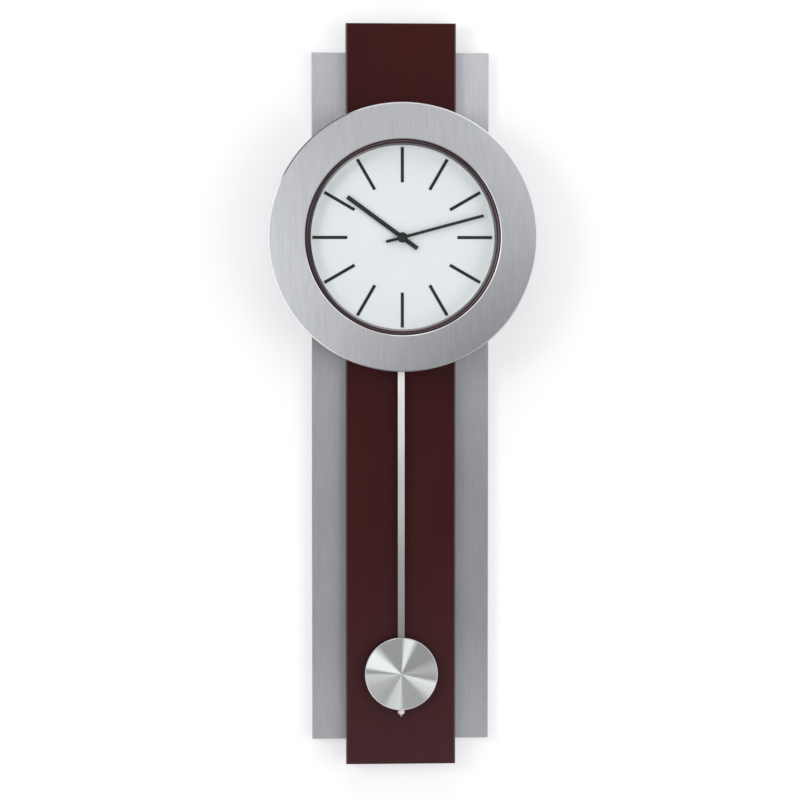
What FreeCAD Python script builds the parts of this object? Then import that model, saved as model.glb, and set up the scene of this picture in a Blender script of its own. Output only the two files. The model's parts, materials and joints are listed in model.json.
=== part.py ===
import FreeCAD, Part
import math
import os
from FreeCAD import Vector

# A wall clock with a swinging pendulum.  Millimetres.  Right is +X, up is +Z, and the clock
# faces -Y.  The wall is the plane y = 0, and the origin is the middle of the keyhole that the
# clock hangs from.  Every front/back pair below is two y values, the front one the lower.

# ---- panels -------------------------------------------------------------------------------
panel_width = 105.4
panel_height = 711.0
panel_thickness = 12.0
panel_edge_round = 1.6
side_spread = 170.0            # across the outer edges of the two side panels
side_height = 661.0
side_thickness = 10.0
side_overlap = 12.0            # how far a side panel reaches behind the centre panel
side_drop = 27.0               # centre panel's top down to the side panels' top
skin_thickness = 0.8
batten_height = 60.0
panel_screw_radius = 1.75
panel_screw_bite = 8.0         # into the centre panel
wall_gap = 2.0                 # thickness of the hanger plate and of the rubber bumpers
hanger_drop = 62.0             # centre panel's top down to the keyhole
head_drop = 204.5              # centre panel's top down to the hand axis

# ---- hanger -------------------------------------------------------------------------------
hanger_width = 56.0
hanger_height = 26.0
hanger_corner = 4.0
hanger_screw_inset = 8.0       # from the hanger plate's end to a screw
hanger_screw_radius = 1.6
hanger_screw_length = 9.0
keyhole_radius = 5.0
keyhole_slot_width = 4.4
keyhole_rise = 9.0
screw_head_room = 4.0          # round the keyhole, behind the plate
hanger_pocket_depth = 6.0
bumper_radius = 6.0
bumper_inset = 6.0             # from the side panel's edges to the bumper's edge

# ---- drum, bezel and dial -----------------------------------------------------------------
drum_radius = 112.0
drum_wall = 1.6
drum_depth = 32.0
drum_flange_radius = 122.0
drum_screw_radius = 1.75
drum_screw_bite = 9.0          # into the centre panel
drum_screw_rise = 40.0         # above and below the hand axis
access_width = 76.0
access_height = 108.0
access_corner = 9.0
bezel_radius = 126.7
bezel_opening_radius = 92.2
bezel_thickness = 12.0
bezel_edge = 1.0
bezel_lip = 1.2
bezel_ledge = 3.0              # the recess behind the lip is this much wider than the opening
bezel_screw_radius = 1.5
bezel_screw_bite = 7.0
stack_clearance = 0.2          # round the pieces that lie in the recess
trim_width = 5.7               # from the bezel's opening in to the trim's edge
trim_thickness = 3.3
glass_thickness = 2.0
spacer_depth = 8.5
dial_thickness = 1.2
marker_length = 33.0
marker_margin = 1.5            # from the trim in to the hour bars
marker_width = 2.9
marker_thickness = 0.4
clip_width = 14.0
clip_thickness = 1.0
clip_bearing = 5.0             # how far a clip reaches over the dial's edge
clip_foot = 11.0
clip_gap = 0.5                 # between a clip's riser and the recess
clip_screw_radius = 1.25
clip_screw_bite = 5.0

# ---- hands --------------------------------------------------------------------------------
hour_hand_shortfall = 20.6     # from the hour bars' outer ends in to the hand's tip
hour_hand_tail = 17.6
hour_hand_width = 4.1
minute_hand_shortfall = 5.5
minute_hand_tail = 16.1
minute_hand_width = 2.8
hand_thickness = 0.7
hand_hub_radius = 4.5
hand_nut_radius = 4.9
hand_nut_height = 1.8
hand_nut_web = 0.4             # the nut is blind, and this closes its front
hand_gap = 0.8                 # between the two hands
shown_hour = 10
shown_minute = 12.5

# ---- movement -----------------------------------------------------------------------------
case_width = 70.0
case_top = 40.0                # above the hand axis
case_bottom = 56.0             # below the hand axis
case_corner = 5.0
case_front_wall = 1.0
case_side_wall = 1.2
washer_radius = 12.0
washer_thickness = 0.8
bush_radius = 3.5
bush_nut_radius = 4.7
bush_nut_height = 1.5
cell_radius = 7.25
cell_length = 49.0
cell_nub_radius = 2.75
cell_nub_length = 1.5
cell_bottom = 28.0             # below the hand axis
cell_clearance = 0.4
trough_gap = 0.55              # between the cell's trough and the case's side wall
contact_thickness = 0.4
tube_fit = 0.08                # radial running fit of tubes, arbors and pins
hour_tube_radius = 2.4
cannon_tube_radius = 1.55
centre_arbor_radius = 0.85
fine_arbor_radius = 0.4
minute_arbor_radius = 0.8
knob_radius = 5.0
knob_height = 3.6
knob_gap = 0.3                 # between the case's back and the knob
knob_ribs = 24
post_radius = 1.5
plate_reach = 20.0             # the gear plates: right of and below the hand axis
plate_rise = 19.0              # the gear plates: above the hand axis
rotor_magnet_radius = 3.0
stator_thickness = 0.8
coil_drop = 13.0               # rotor axis down to the motor coil's axis
coil_core_radius = 2.6         # the post that the drive coil sits on
coil_radius = 9.0
coil_depth = 3.2
board_left, board_right = 13.0, 31.0
board_upper, board_lower = 24.0, 50.0      # below the hand axis
board_thickness = 1.0

# Tooth counts.  The minute hand's cannon pinion drives the minute wheel, whose pinion drives
# the hour wheel: 12 to 1.  The rotor, intermediate, seconds, third and centre wheels step the
# hand down from the motor: 30 to 1 and then 60 to 1.
cannon_teeth, minute_teeth, minute_pinion_teeth, hour_teeth = 12, 36, 10, 40
motion_distance = 12.0
centre_teeth, third_pinion_teeth, third_teeth, seconds_pinion_teeth = 64, 8, 60, 8
train_distance = 9.0
seconds_teeth, intermediate_pinion_teeth = 60, 8
intermediate_teeth, rotor_pinion_teeth = 40, 10
fine_module = 0.22
pinion_overhang = 0.15

# ---- pendulum -----------------------------------------------------------------------------
pivot_rise = 24.0              # above the hand axis
pivot_radius = 1.5
magnet_drop = 44.0             # hand axis down to the pendulum's magnet and its drive coil
magnet_radius = 5.0
bob_drop = 417.4               # hand axis down to the bob's centre
bob_radius = 34.9
bob_face_thickness = 3.2
bob_back_thickness = 3.8
bob_dome = 0.9
leader_width = 8.0
leader_thickness = 1.2
leader_gap = 1.4               # between the movement's back and the leader
hook_drop = 54.0               # below the hand axis
rod_width = 6.4
rod_thickness = 1.2
rod_clearance = 0.3
stud_radius = 1.5
nut_radius = 3.45
nut_height = 4.4
nut_ribs = 20
nut_gap = 0.15
stud_point = 2.4               # how far the stud shows below the nut
swing_degrees = 5.0
nut_travel = 1.5               # up and down

# ---- places that follow from the sizes ----------------------------------------------------
panel_top = hanger_drop
panel_bottom = panel_top - panel_height
side_top = panel_top - side_drop
side_bottom = side_top - side_height
side_inner = panel_width / 2 - side_overlap
side_outer = side_spread / 2
axis_z = panel_top - head_drop
pivot_z = axis_z + pivot_rise
coil_z = axis_z - magnet_drop
bob_z = axis_z - bob_drop

board_back = -wall_gap
board_front = board_back - side_thickness
panel_front = board_front - panel_thickness
drum_front = panel_front - drum_depth
bezel_front = drum_front - bezel_thickness
lip_back = bezel_front + bezel_lip
glass_front = lip_back + trim_thickness
glass_back = glass_front + glass_thickness
dial_front = glass_back + spacer_depth
dial_back = dial_front + dial_thickness
case_front = dial_back + washer_thickness
case_back = case_front + case_front_wall + 2 * cell_radius + 0.5
case_split = case_front + 7.0
inner_front = case_front + case_front_wall
inner_back = case_back - case_front_wall

recess_radius = bezel_opening_radius + bezel_ledge
stack_radius = recess_radius - stack_clearance
trim_inner_radius = bezel_opening_radius - trim_width
marker_outer_radius = trim_inner_radius - marker_margin
marker_inner_radius = marker_outer_radius - marker_length
minute_hand_length = marker_outer_radius - minute_hand_shortfall
hour_hand_length = marker_outer_radius - hour_hand_shortfall
clip_screw_circle = recess_radius + clip_thickness + clip_foot / 2 + clip_gap
bush_front = dial_front - bush_nut_height
hour_hand_front = bush_front - 0.4 - hand_thickness
minute_hand_front = hour_hand_front - hand_gap - hand_thickness
hand_nut_front = minute_hand_front - hand_nut_height

leader_front = case_back + leader_gap
leader_back = leader_front + leader_thickness
leader_hub_front = case_back + 0.4
leader_hub_back = leader_back + 0.9
rod_front = leader_back + 0.2
rod_back = rod_front + rod_thickness
rod_middle = (rod_front + rod_back) / 2
hook_head_front = rod_back + 0.25
bob_back = rod_middle + stud_radius + tube_fit + 0.4
bob_joint = bob_back - bob_back_thickness
bob_front = bob_joint - bob_face_thickness
hook_z = axis_z - hook_drop
nut_top = bob_z - bob_radius - nut_gap
stud_end = nut_top - nut_height - stud_point

hour_angle = 30.0 * (shown_hour + shown_minute / 60.0)
minute_angle = 6.0 * shown_minute

trough_half = cell_radius + 2 * cell_clearance
cell_offset = case_width / 2 - trough_gap - trough_half - 2 * case_side_wall    # to the left
trough_right = trough_half + case_side_wall - cell_offset     # outside of its right wall
post_left = trough_right + post_radius
minute_x = motion_distance
third_z = axis_z + train_distance
intermediate_z = axis_z - fine_module * (seconds_teeth + intermediate_pinion_teeth) / 2
rotor_z = intermediate_z - fine_module * (intermediate_teeth + rotor_pinion_teeth) / 2
coil_bar_z = rotor_z - coil_drop
coil_front = inner_back - coil_depth
stator_half = -(post_left + post_radius) - 0.75

# Bearings of the tooth or gap that meets the next gear, in radians from +X towards +Z.
east, north, west, south = 0.0, math.pi / 2, math.pi, -math.pi / 2


def stack_layers():
    """Front and back of each layer of the movement, from the front wall backwards."""
    stack = (("hour_wheel", 0.4, 0.7), ("minute_wheel", 0.6, 0.7), ("front_plate", 0.7, 0.8),
             ("centre_wheel", 0.4, 0.6), ("third_wheel", 0.6, 0.6), ("rear_plate", 0.5, 0.8),
             ("seconds_wheel", 0.4, 0.6), ("intermediate_wheel", 0.6, 0.6),
             ("rotor_magnet", 0.6, 2.0))   # name, gap before it, thickness
    places, y = {}, inner_front
    for name, gap, thickness in stack:
        places[name] = (y + gap, y + gap + thickness)
        y += gap + thickness
    return places


layer = stack_layers()
stator_front = layer["rotor_magnet"][0] + 0.6
stator_back = stator_front + stator_thickness
board_rear = layer["rotor_magnet"][0] + 0.8
board_face = board_rear - board_thickness


# ---- shapes -------------------------------------------------------------------------------
def slab(left, right, front, back, bottom, top):
    return Part.makeBox(right - left, back - front, top - bottom, Vector(left, front, bottom))


def disc(radius, front, back, x=0.0, z=0.0):
    return Part.makeCylinder(radius, back - front, Vector(x, front, z), Vector(0, 1, 0))


def ring(outer, inner, front, back, x=0.0, z=0.0):
    return disc(outer, front, back, x, z).cut(disc(inner, front - 1, back + 1, x, z))


def extrude(points, front, back):
    """A prism along Y from (x, z) points."""
    corners = [Vector(x, front, z) for x, z in points]
    wire = Part.makePolygon(corners + corners[:1])
    return Part.Face(wire).extrude(Vector(0, back - front, 0))


def rounded_slab(left, right, front, back, bottom, top, corner):
    """A box whose four edges along Y are rounded."""
    block = slab(left, right, front, back, bottom, top)
    edges = [e for e in block.Edges if abs(e.tangentAt(e.FirstParameter).y) > 0.99]
    return block.makeFillet(corner, edges)


def turned(profile, x=0.0, z=0.0):
    """A solid of revolution about a line along Y.  The profile is (radius, y) points, and an
    item of three points is an arc that starts at the first, passes the second, ends at the
    third."""
    def spot(point):
        return Vector(x + point[0], point[1], z)
    edges, pen, first = [], None, None
    for item in profile:
        curved = isinstance(item[0], tuple)
        start = spot(item[0]) if curved else spot(item)
        if pen is not None and pen.distanceToPoint(start) > 1e-7:
            edges.append(Part.LineSegment(pen, start).toShape())
        if curved:
            edges.append(Part.Arc(start, spot(item[1]), spot(item[2])).toShape())
        pen = spot(item[2]) if curved else start
        first = start if first is None else first
    if pen.distanceToPoint(first) > 1e-7:
        edges.append(Part.LineSegment(pen, first).toShape())
    return Part.Face(Part.Wire(edges)).revolve(Vector(x, 0, z), Vector(0, 1, 0), 360)


def turn(shape, degrees, x=0.0, z=0.0):
    """The shape turned clockwise, seen from the front, about a line along Y."""
    copy = shape.copy()
    copy.rotate(Vector(x, 0, z), Vector(0, 1, 0), degrees)
    return copy


def fuse(*shapes):
    solid = shapes[0].multiFuse(list(shapes[1:])) if len(shapes) > 1 else shapes[0]
    return solid.removeSplitter()


def cross_recess(x, z, face, inward, size):
    """The cut of a cross-head driver, from a screw head's face inwards."""
    near, far = sorted((face - inward * 0.1, face + inward * size * 0.6))
    thin = size * 0.16
    return fuse(slab(x - size / 2, x + size / 2, near, far, z - thin, z + thin),
                slab(x - thin, x + thin, near, far, z - size / 2, z + size / 2))


def countersunk_screw(x, z, face, inward, length, radius):
    """A countersunk screw.  Its face lies at y = face and it points along inward, +1 or -1."""
    head = 2 * radius
    cone = Part.makeCone(head, radius, radius, Vector(x, face, z), Vector(0, inward, 0))
    shank = Part.makeCylinder(radius, length, Vector(x, face, z), Vector(0, inward, 0))
    return fuse(cone, shank).cut(cross_recess(x, z, face, inward, head))


def countersunk_hole(x, z, face, inward, length, radius):
    """The seat and pilot hole that a countersunk screw fills."""
    cone = Part.makeCone(2 * radius, radius, radius, Vector(x, face, z), Vector(0, inward, 0))
    pilot = Part.makeCylinder(radius, length, Vector(x, face, z), Vector(0, inward, 0))
    return cone.fuse(pilot)


def pan_screw(x, z, seat, inward, length, radius):
    """A pan-head screw whose head sits on y = seat and whose shank points along inward."""
    head_height = 1.1 * radius
    head = Part.makeCylinder(1.9 * radius, head_height, Vector(x, seat, z), Vector(0, -inward, 0))
    rim = [e for e in head.Edges if abs(e.CenterOfMass.y - (seat - inward * head_height)) < 1e-6]
    head = head.makeFillet(0.4 * radius, rim[:1])
    shank = Part.makeCylinder(radius, length, Vector(x, seat, z), Vector(0, inward, 0))
    recess = cross_recess(x, z, seat - inward * head_height, inward, 2.2 * radius)
    return fuse(head, shank).cut(recess)


def shank_hole(x, z, seat, inward, length, radius):
    return Part.makeCylinder(radius, length, Vector(x, seat, z), Vector(0, inward, 0))


# ---- gears --------------------------------------------------------------------------------
def module_for(distance, teeth, mate_teeth):
    return 2 * distance / (teeth + mate_teeth)


def epicycloid_turn(pitch_radius, rolling_radius, height):
    """How far a tooth's flank has curled in, in radians, at a height above the pitch circle."""
    reach = pitch_radius + rolling_radius
    top = pitch_radius + height
    cosine = (reach ** 2 + rolling_radius ** 2 - top ** 2) / (2 * reach * rolling_radius)
    rolled = math.acos(max(-1.0, min(1.0, cosine)))
    lean = math.atan2(rolling_radius * math.sin(rolled), reach - rolling_radius * math.cos(rolled))
    return rolling_radius * rolled / pitch_radius - lean


def toothed(teeth, flank, towards, x, z, front, back):
    """A gear's rim.  The flank is (radius, half angle) points from root to tip, and one tooth
    points along the angle towards, in radians."""
    points = []
    for tooth in range(teeth):
        middle = towards + 2 * math.pi * tooth / teeth
        rising = [(r, middle - half) for r, half in flank]
        falling = [(r, middle + half) for r, half in reversed(flank)]
        points += [(x + r * math.cos(a), z + r * math.sin(a)) for r, a in rising + falling]
    return extrude(points, front, back)


def wheel(teeth, module, mate_teeth, towards, x, z, front, back):
    """A wheel whose tooth tips are epicycloids of its pinion's half radius."""
    pitch_radius = teeth * module / 2
    rolling = mate_teeth * module / 4
    half = 0.46 * math.pi / teeth
    heights = (0.0, 0.42 * module, 0.84 * module, 1.2 * module)
    flank = [(pitch_radius - module, half)]
    flank += [(pitch_radius + h, half - epicycloid_turn(pitch_radius, rolling, h))
              for h in heights]
    return toothed(teeth, flank, towards, x, z, front, back)


def pinion(teeth, module, towards, x, z, front, back):
    """A pinion with radial flanks and rounded tips.  A gap points along the angle towards."""
    pitch_radius = teeth * module / 2
    half = 0.38 * math.pi / teeth
    flank = [(pitch_radius - 1.5 * module, half), (pitch_radius, half),
             (pitch_radius + 0.35 * module, 0.8 * half), (pitch_radius + 0.6 * module, 0.35 * half)]
    return toothed(teeth, flank, towards + math.pi / teeth, x, z, front, back)


# ---- panels and hanger --------------------------------------------------------------------
def panel_screw_places():
    """Where screws hold the side panels and battens to the centre panel, as (x, z)."""
    inset = side_overlap / 2
    heights = [side_top - batten_height / 2, axis_z - access_height, bob_z + 2 * bob_radius,
               side_bottom + batten_height / 2]
    return [(side * (side_inner + inset), z) for side in (-1, 1) for z in heights]


def batten_screw_places():
    reach = side_inner * 0.6
    return [(side * reach, z) for side in (-1, 1)
            for z in (side_top - batten_height * 0.8, side_bottom + batten_height * 0.5)]


def panel_fixings(make):
    """Screws or their holes, from the back of the boards into the centre panel."""
    length = side_thickness + panel_screw_bite
    places = panel_screw_places() + batten_screw_places()
    return [make(x, z, board_back, -1, length, panel_screw_radius) for x, z in places]


def access_opening(front, back):
    """The hole behind the movement, for the battery and the setting knob."""
    middle = axis_z + (case_top - case_bottom) / 2
    return rounded_slab(-access_width / 2, access_width / 2, front, back,
                        middle - access_height / 2, middle + access_height / 2, access_corner)


def drum_screw_places():
    x = (access_width + panel_width) / 4
    return [(side * x, axis_z + rise) for side in (-1, 1)
            for rise in (-drum_screw_rise, drum_screw_rise)]


def centre_panel():
    board = slab(-panel_width / 2, panel_width / 2, panel_front, board_front,
                 panel_bottom, panel_top)
    front_edges = [e for e in board.Edges if abs(e.CenterOfMass.y - panel_front) < 1e-6]
    board = board.makeFillet(panel_edge_round, front_edges)
    board = board.cut(access_opening(panel_front - 1, board_front + 1))
    holes = panel_fixings(countersunk_hole)
    holes += [shank_hole(x, z, panel_front, 1, drum_screw_bite, drum_screw_radius)
              for x, z in drum_screw_places()]
    return board.cut(holes)


def side_board(side):
    """The wooden core of a side panel.  side is -1 on the left and 1 on the right."""
    left, right = sorted((side * side_inner, side * (side_outer - skin_thickness)))
    board = slab(left, right, board_front + skin_thickness, board_back,
                 side_bottom + skin_thickness, side_top - skin_thickness)
    return board.cut(panel_fixings(countersunk_hole))


def side_skin(side):
    """Brushed sheet folded over a side panel's front, outer edge and ends."""
    left, right = sorted((side * side_inner, side * side_outer))
    inner, wrapped = sorted((side * (side_inner - 1), side * (side_outer - skin_thickness)))
    sheet = slab(left, right, board_front, board_back, side_bottom, side_top)
    edges = [e for e in sheet.Edges
             if abs(e.CenterOfMass.y - board_front) < 1e-6 and abs(e.CenterOfMass.x) > side_inner + 1]
    sheet = sheet.makeFillet(skin_thickness * 0.6, edges)
    core = slab(inner, wrapped, board_front + skin_thickness, board_back + 1,
                side_bottom + skin_thickness, side_top - skin_thickness)
    return sheet.cut(core).cut(panel_fixings(countersunk_hole))


def batten(bottom):
    bar = slab(-side_inner, side_inner, board_front, board_back, bottom, bottom + batten_height)
    return bar.cut(panel_fixings(countersunk_hole))


def hanger_screw_places():
    return [(side * (hanger_width / 2 - hanger_screw_inset), 0.0) for side in (-1, 1)]


def hanger_fixings(make):
    return [make(x, z, 0.0, -1, hanger_screw_length, hanger_screw_radius)
            for x, z in hanger_screw_places()]


def upper_batten():
    pocket_half = keyhole_radius + screw_head_room
    pocket = rounded_slab(-pocket_half, pocket_half, board_back - hanger_pocket_depth,
                          board_back + 1, -pocket_half, pocket_half + keyhole_rise * 0.4,
                          hanger_corner)
    return batten(side_top - batten_height).cut(pocket).cut(hanger_fixings(countersunk_hole))


def keyhole_hanger():
    plate = rounded_slab(-hanger_width / 2, hanger_width / 2, -wall_gap, 0.0,
                         -hanger_height / 2, hanger_height / 2, hanger_corner)
    half = keyhole_slot_width / 2
    slot = fuse(slab(-half, half, -wall_gap - 1, 1, 0, keyhole_rise - half),
                disc(half, -wall_gap - 1, 1, 0, keyhole_rise - half))
    hole = disc(keyhole_radius, -wall_gap - 1, 1)
    return plate.cut([hole, slot] + hanger_fixings(countersunk_hole))


def wall_bumpers():
    inset = bumper_radius + bumper_inset
    x = side_outer - inset
    return [disc(bumper_radius, -wall_gap, 0.0, side * x, z)
            for side in (-1, 1) for z in (side_bottom + inset, side_top - inset)]


# ---- drum, bezel and dial -----------------------------------------------------------------
def rod_slot():
    """The gap in the drum's bottom where the pendulum swings."""
    reach = pivot_z - (axis_z - drum_radius)
    half = reach * math.tan(math.radians(swing_degrees)) + rod_width / 2 + 3.0
    return slab(-half, half, rod_front - 4.0, rod_back + 4.0,
                axis_z - drum_radius - 1, axis_z - drum_radius * 0.9)


def bezel_screw_places():
    radius = (drum_radius + drum_flange_radius) / 2
    return [(radius * math.sin(math.radians(30 + 60 * k)),
             axis_z + radius * math.cos(math.radians(30 + 60 * k))) for k in range(6)]


def clip_angles():
    return [45 + 90 * k for k in range(4)]


def clip_screw_places():
    return [(clip_screw_circle * math.sin(math.radians(a)),
             axis_z + clip_screw_circle * math.cos(math.radians(a))) for a in clip_angles()]


def drum():
    """A pressed pan with a flat back and a flange that the bezel is screwed to."""
    inner = drum_radius - drum_wall
    pan = turned([(0.0, panel_front), (drum_radius, panel_front),
                  (drum_radius, drum_front + drum_wall), (drum_flange_radius, drum_front + drum_wall),
                  (drum_flange_radius, drum_front), (inner, drum_front),
                  (inner, panel_front - drum_wall), (0.0, panel_front - drum_wall)], 0, axis_z)
    cuts = [access_opening(panel_front - drum_wall - 1, panel_front + 1), rod_slot()]
    cuts += [disc(bezel_screw_radius, drum_front - 1, drum_front + drum_wall + 1, x, z)
             for x, z in bezel_screw_places()]
    cuts += [disc(drum_screw_radius, panel_front - drum_wall - 1, panel_front + 1, x, z)
             for x, z in drum_screw_places()]
    return pan.cut(cuts)


def drum_screws():
    seat = panel_front - drum_wall
    return [pan_screw(x, z, seat, 1, drum_wall + drum_screw_bite, drum_screw_radius)
            for x, z in drum_screw_places()]


def bezel_ring():
    body = turned([(bezel_opening_radius + bezel_edge / 2, bezel_front),
                   (bezel_radius - bezel_edge, bezel_front),
                   (bezel_radius, bezel_front + bezel_edge),
                   (bezel_radius, drum_front - bezel_edge / 2),
                   (bezel_radius - bezel_edge / 2, drum_front), (recess_radius, drum_front),
                   (recess_radius, lip_back), (bezel_opening_radius, lip_back),
                   (bezel_opening_radius, bezel_front + bezel_edge / 2)], 0, axis_z)
    holes = [shank_hole(x, z, drum_front, -1, bezel_screw_bite, bezel_screw_radius)
             for x, z in bezel_screw_places()]
    holes += [shank_hole(x, z, drum_front, -1, clip_screw_bite, clip_screw_radius)
              for x, z in clip_screw_places()]
    return body.cut(holes)


def bezel_screws():
    length = drum_wall + bezel_screw_bite
    return [pan_screw(x, z, drum_front + drum_wall, -1, length, bezel_screw_radius)
            for x, z in bezel_screw_places()]


def inner_trim_ring():
    """The dark moulded ring inside the bezel: a groove, a rounded band, a bead and a bevel."""
    inner, outer = trim_inner_radius, bezel_opening_radius - stack_clearance
    width = outer - inner
    band_out, band_in = outer - 0.16 * width, inner + 0.38 * width
    bead_out, bead_in = inner + 0.32 * width, inner + 0.16 * width
    low, crest = lip_back + 0.1, lip_back - 0.75
    return turned([(inner, glass_front), (stack_radius, glass_front), (stack_radius, lip_back),
                   (outer, lip_back), (outer, lip_back - 0.6), (outer - 0.1 * width, lip_back - 0.6),
                   ((band_out, low), ((band_out + band_in) / 2, crest), (band_in, low)),
                   ((bead_out, low), ((bead_out + bead_in) / 2, low - 0.5), (bead_in, low)),
                   (inner, lip_back + 0.8)], 0, axis_z)


def hour_markers():
    half = marker_width / 2
    bar = slab(-half, half, dial_front - marker_thickness, dial_front,
               axis_z + marker_inner_radius, axis_z + marker_outer_radius)
    return [turn(bar, 30.0 * hour, 0, axis_z) for hour in range(12)]


def dial_clips():
    """Stepped clips from the bezel's back over the dial's edge."""
    riser = recess_radius + clip_gap
    half = clip_width / 2
    screw_z = axis_z + clip_screw_circle

    def strip(front, back, inner, outer):
        return slab(-half, half, front, back, axis_z + inner, axis_z + outer)
    clip = fuse(strip(drum_front, drum_front + clip_thickness, riser, riser + clip_foot),
                strip(drum_front, dial_back + clip_thickness, riser, riser + clip_thickness),
                strip(dial_back, dial_back + clip_thickness, stack_radius - clip_bearing,
                      riser + clip_thickness / 2))
    clip = clip.cut(disc(clip_screw_radius, drum_front - 1, drum_front + 2, 0, screw_z))
    return [turn(clip, angle, 0, axis_z) for angle in clip_angles()]


def clip_screws():
    length = clip_thickness + clip_screw_bite
    return [pan_screw(x, z, drum_front + clip_thickness, -1, length, clip_screw_radius)
            for x, z in clip_screw_places()]


# ---- hands --------------------------------------------------------------------------------
def hand(length, tail, width, front, bore, angle):
    back = front + hand_thickness
    bar = slab(-width / 2, width / 2, front, back, axis_z - tail, axis_z + length)
    blank = fuse(bar, disc(hand_hub_radius, front, back, 0, axis_z))
    blank = blank.cut(disc(bore, front - 1, back + 1, 0, axis_z))
    return turn(blank, angle, 0, axis_z)


def hand_nut():
    nut = disc(hand_nut_radius, hand_nut_front, minute_hand_front, 0, axis_z)
    nut = nut.cut(disc(cannon_tube_radius, hand_nut_front + hand_nut_web, minute_hand_front + 1,
                       0, axis_z))
    front_rims = [e for e in nut.Edges if abs(e.CenterOfMass.y - hand_nut_front) < 1e-6]
    return nut.makeChamfer(0.4, front_rims)


# ---- movement -----------------------------------------------------------------------------
def overhang(name):
    front, back = layer[name]
    return front - pinion_overhang, back + pinion_overhang


def case_block(front, back, shrink=0.0):
    return rounded_slab(shrink - case_width / 2, case_width / 2 - shrink, front, back,
                        axis_z - case_bottom + shrink, axis_z + case_top - shrink,
                        case_corner - shrink)


def trough_sides(shrink=0.0):
    """Left, right, bottom and top of the battery trough's inside, less a wall."""
    half = trough_half + shrink
    return (-cell_offset - half, -cell_offset + half, axis_z - cell_bottom - 3.4 - shrink,
            axis_z - cell_bottom + cell_length + cell_nub_length + 2.6 + shrink)


def trough_block(front, back, shrink=0.0):
    left, right, bottom, top = trough_sides(shrink)
    return slab(left, right, front, back, bottom, top)


def post_places():
    """The four posts between the gear plates and the case, as (x, z)."""
    return [(x, axis_z + rise) for x in (post_left, plate_reach - 2.0)
            for rise in (2.0 - plate_reach, plate_rise - 2.0)]


def board_post_places():
    return [(board_right - 2.5, axis_z - board_upper - 3.0),
            (board_left + 2.5, axis_z - board_lower + 3.0)]


def movement_front_case():
    shell = case_block(case_front, case_split)
    shell = shell.cut(case_block(inner_front, case_split + 1, case_side_wall))
    holes = [disc(bush_radius + 1.1, case_front - 1, inner_front + 1, 0, axis_z),
             disc(0.5 + tube_fit, inner_front - 0.5, inner_front + 1, minute_x, axis_z)]
    return shell.cut(holes)


def movement_rear_case():
    shell = case_block(case_split, case_back)
    shell = shell.cut(case_block(case_split - 1, inner_back, case_side_wall))
    fit = case_side_wall + 0.1
    rim = case_block(case_split - 1.5, case_split + 1.0, fit)
    rim = rim.cut(case_block(case_split - 2, case_split + 2, fit + 0.9))
    trough = trough_block(inner_front + 0.1, case_back, case_side_wall)
    plate_back = layer["rear_plate"][1]
    posts = [disc(post_radius, plate_back, inner_back, x, z) for x, z in post_places()]
    posts += [disc(post_radius, board_rear, inner_back, x, z) for x, z in board_post_places()]
    posts.append(disc(coil_core_radius, coil_front, inner_back, 0, coil_z))
    shell = fuse(shell, rim, trough, *posts)
    cuts = [trough_block(inner_front - 1, case_back + 1),
            disc(minute_arbor_radius + tube_fit, inner_back - 1, case_back + 1, minute_x, axis_z),
            disc(pivot_radius, inner_back - 1, case_back + 1, 0, pivot_z)]
    cuts += [disc(fine_arbor_radius + tube_fit, inner_back - 1, inner_back + 0.6, 0, z)
             for z in (axis_z, intermediate_z, rotor_z)]
    return shell.cut(cuts)


def plate(name, holes, feet_front):
    """A flat plate with round holes and four feet that reach forward to feet_front."""
    front, back = layer[name]
    sheet = rounded_slab(trough_right + 0.2, plate_reach, front, back,
                         axis_z - plate_reach, axis_z + plate_rise, 2.0)
    feet = [disc(post_radius, feet_front, front, x, z) for x, z in post_places()]
    cuts = [disc(radius + tube_fit, front - 1, back + 1, x, z) for radius, x, z in holes]
    return fuse(sheet, *feet).cut(cuts)


def front_plate():
    holes = [(centre_arbor_radius, 0, axis_z), (fine_arbor_radius, 0, third_z),
             (minute_arbor_radius, minute_x, axis_z)]
    return plate("front_plate", holes, inner_front)


def rear_plate():
    holes = [(fine_arbor_radius, 0, z) for z in (axis_z, third_z, intermediate_z, rotor_z)]
    holes.append((minute_arbor_radius, minute_x, axis_z))
    return plate("rear_plate", holes, layer["front_plate"][1])


def threaded_bush():
    flange = disc(bush_radius + 1.1, case_front, inner_front, 0, axis_z)
    stem = disc(bush_radius, bush_front, case_front, 0, axis_z)
    bore = disc(hour_tube_radius + tube_fit, bush_front - 1, inner_front + 1, 0, axis_z)
    return fuse(flange, stem).cut(bore)


def bush_nut():
    nut = ring(bush_nut_radius, bush_radius, bush_front, dial_front, 0, axis_z)
    notch = slab(-0.6, 0.6, bush_front - 1, bush_front + 0.6,
                 axis_z - bush_nut_radius, axis_z + bush_nut_radius)
    return nut.cut([notch, turn(notch, 90, 0, axis_z)])


def hour_wheel():
    front, back = layer["hour_wheel"]
    module = module_for(motion_distance, hour_teeth, minute_pinion_teeth)
    rim = wheel(hour_teeth, module, minute_pinion_teeth, east, 0, axis_z, front, back)
    tube = disc(hour_tube_radius, hour_hand_front - 0.1, back, 0, axis_z)
    bore = disc(cannon_tube_radius + tube_fit, hour_hand_front - 1, back + 1, 0, axis_z)
    return fuse(rim, tube).cut(bore)


def cannon_pinion():
    front, back = overhang("minute_wheel")
    module = module_for(motion_distance, minute_teeth, cannon_teeth)
    leaves = pinion(cannon_teeth, module, east, 0, axis_z, front, back)
    tube = disc(cannon_tube_radius, hand_nut_front + 0.5, back, 0, axis_z)
    bore = disc(centre_arbor_radius + tube_fit, case_front - 2.0, back + 1, 0, axis_z)
    return fuse(leaves, tube).cut(bore)


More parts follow.
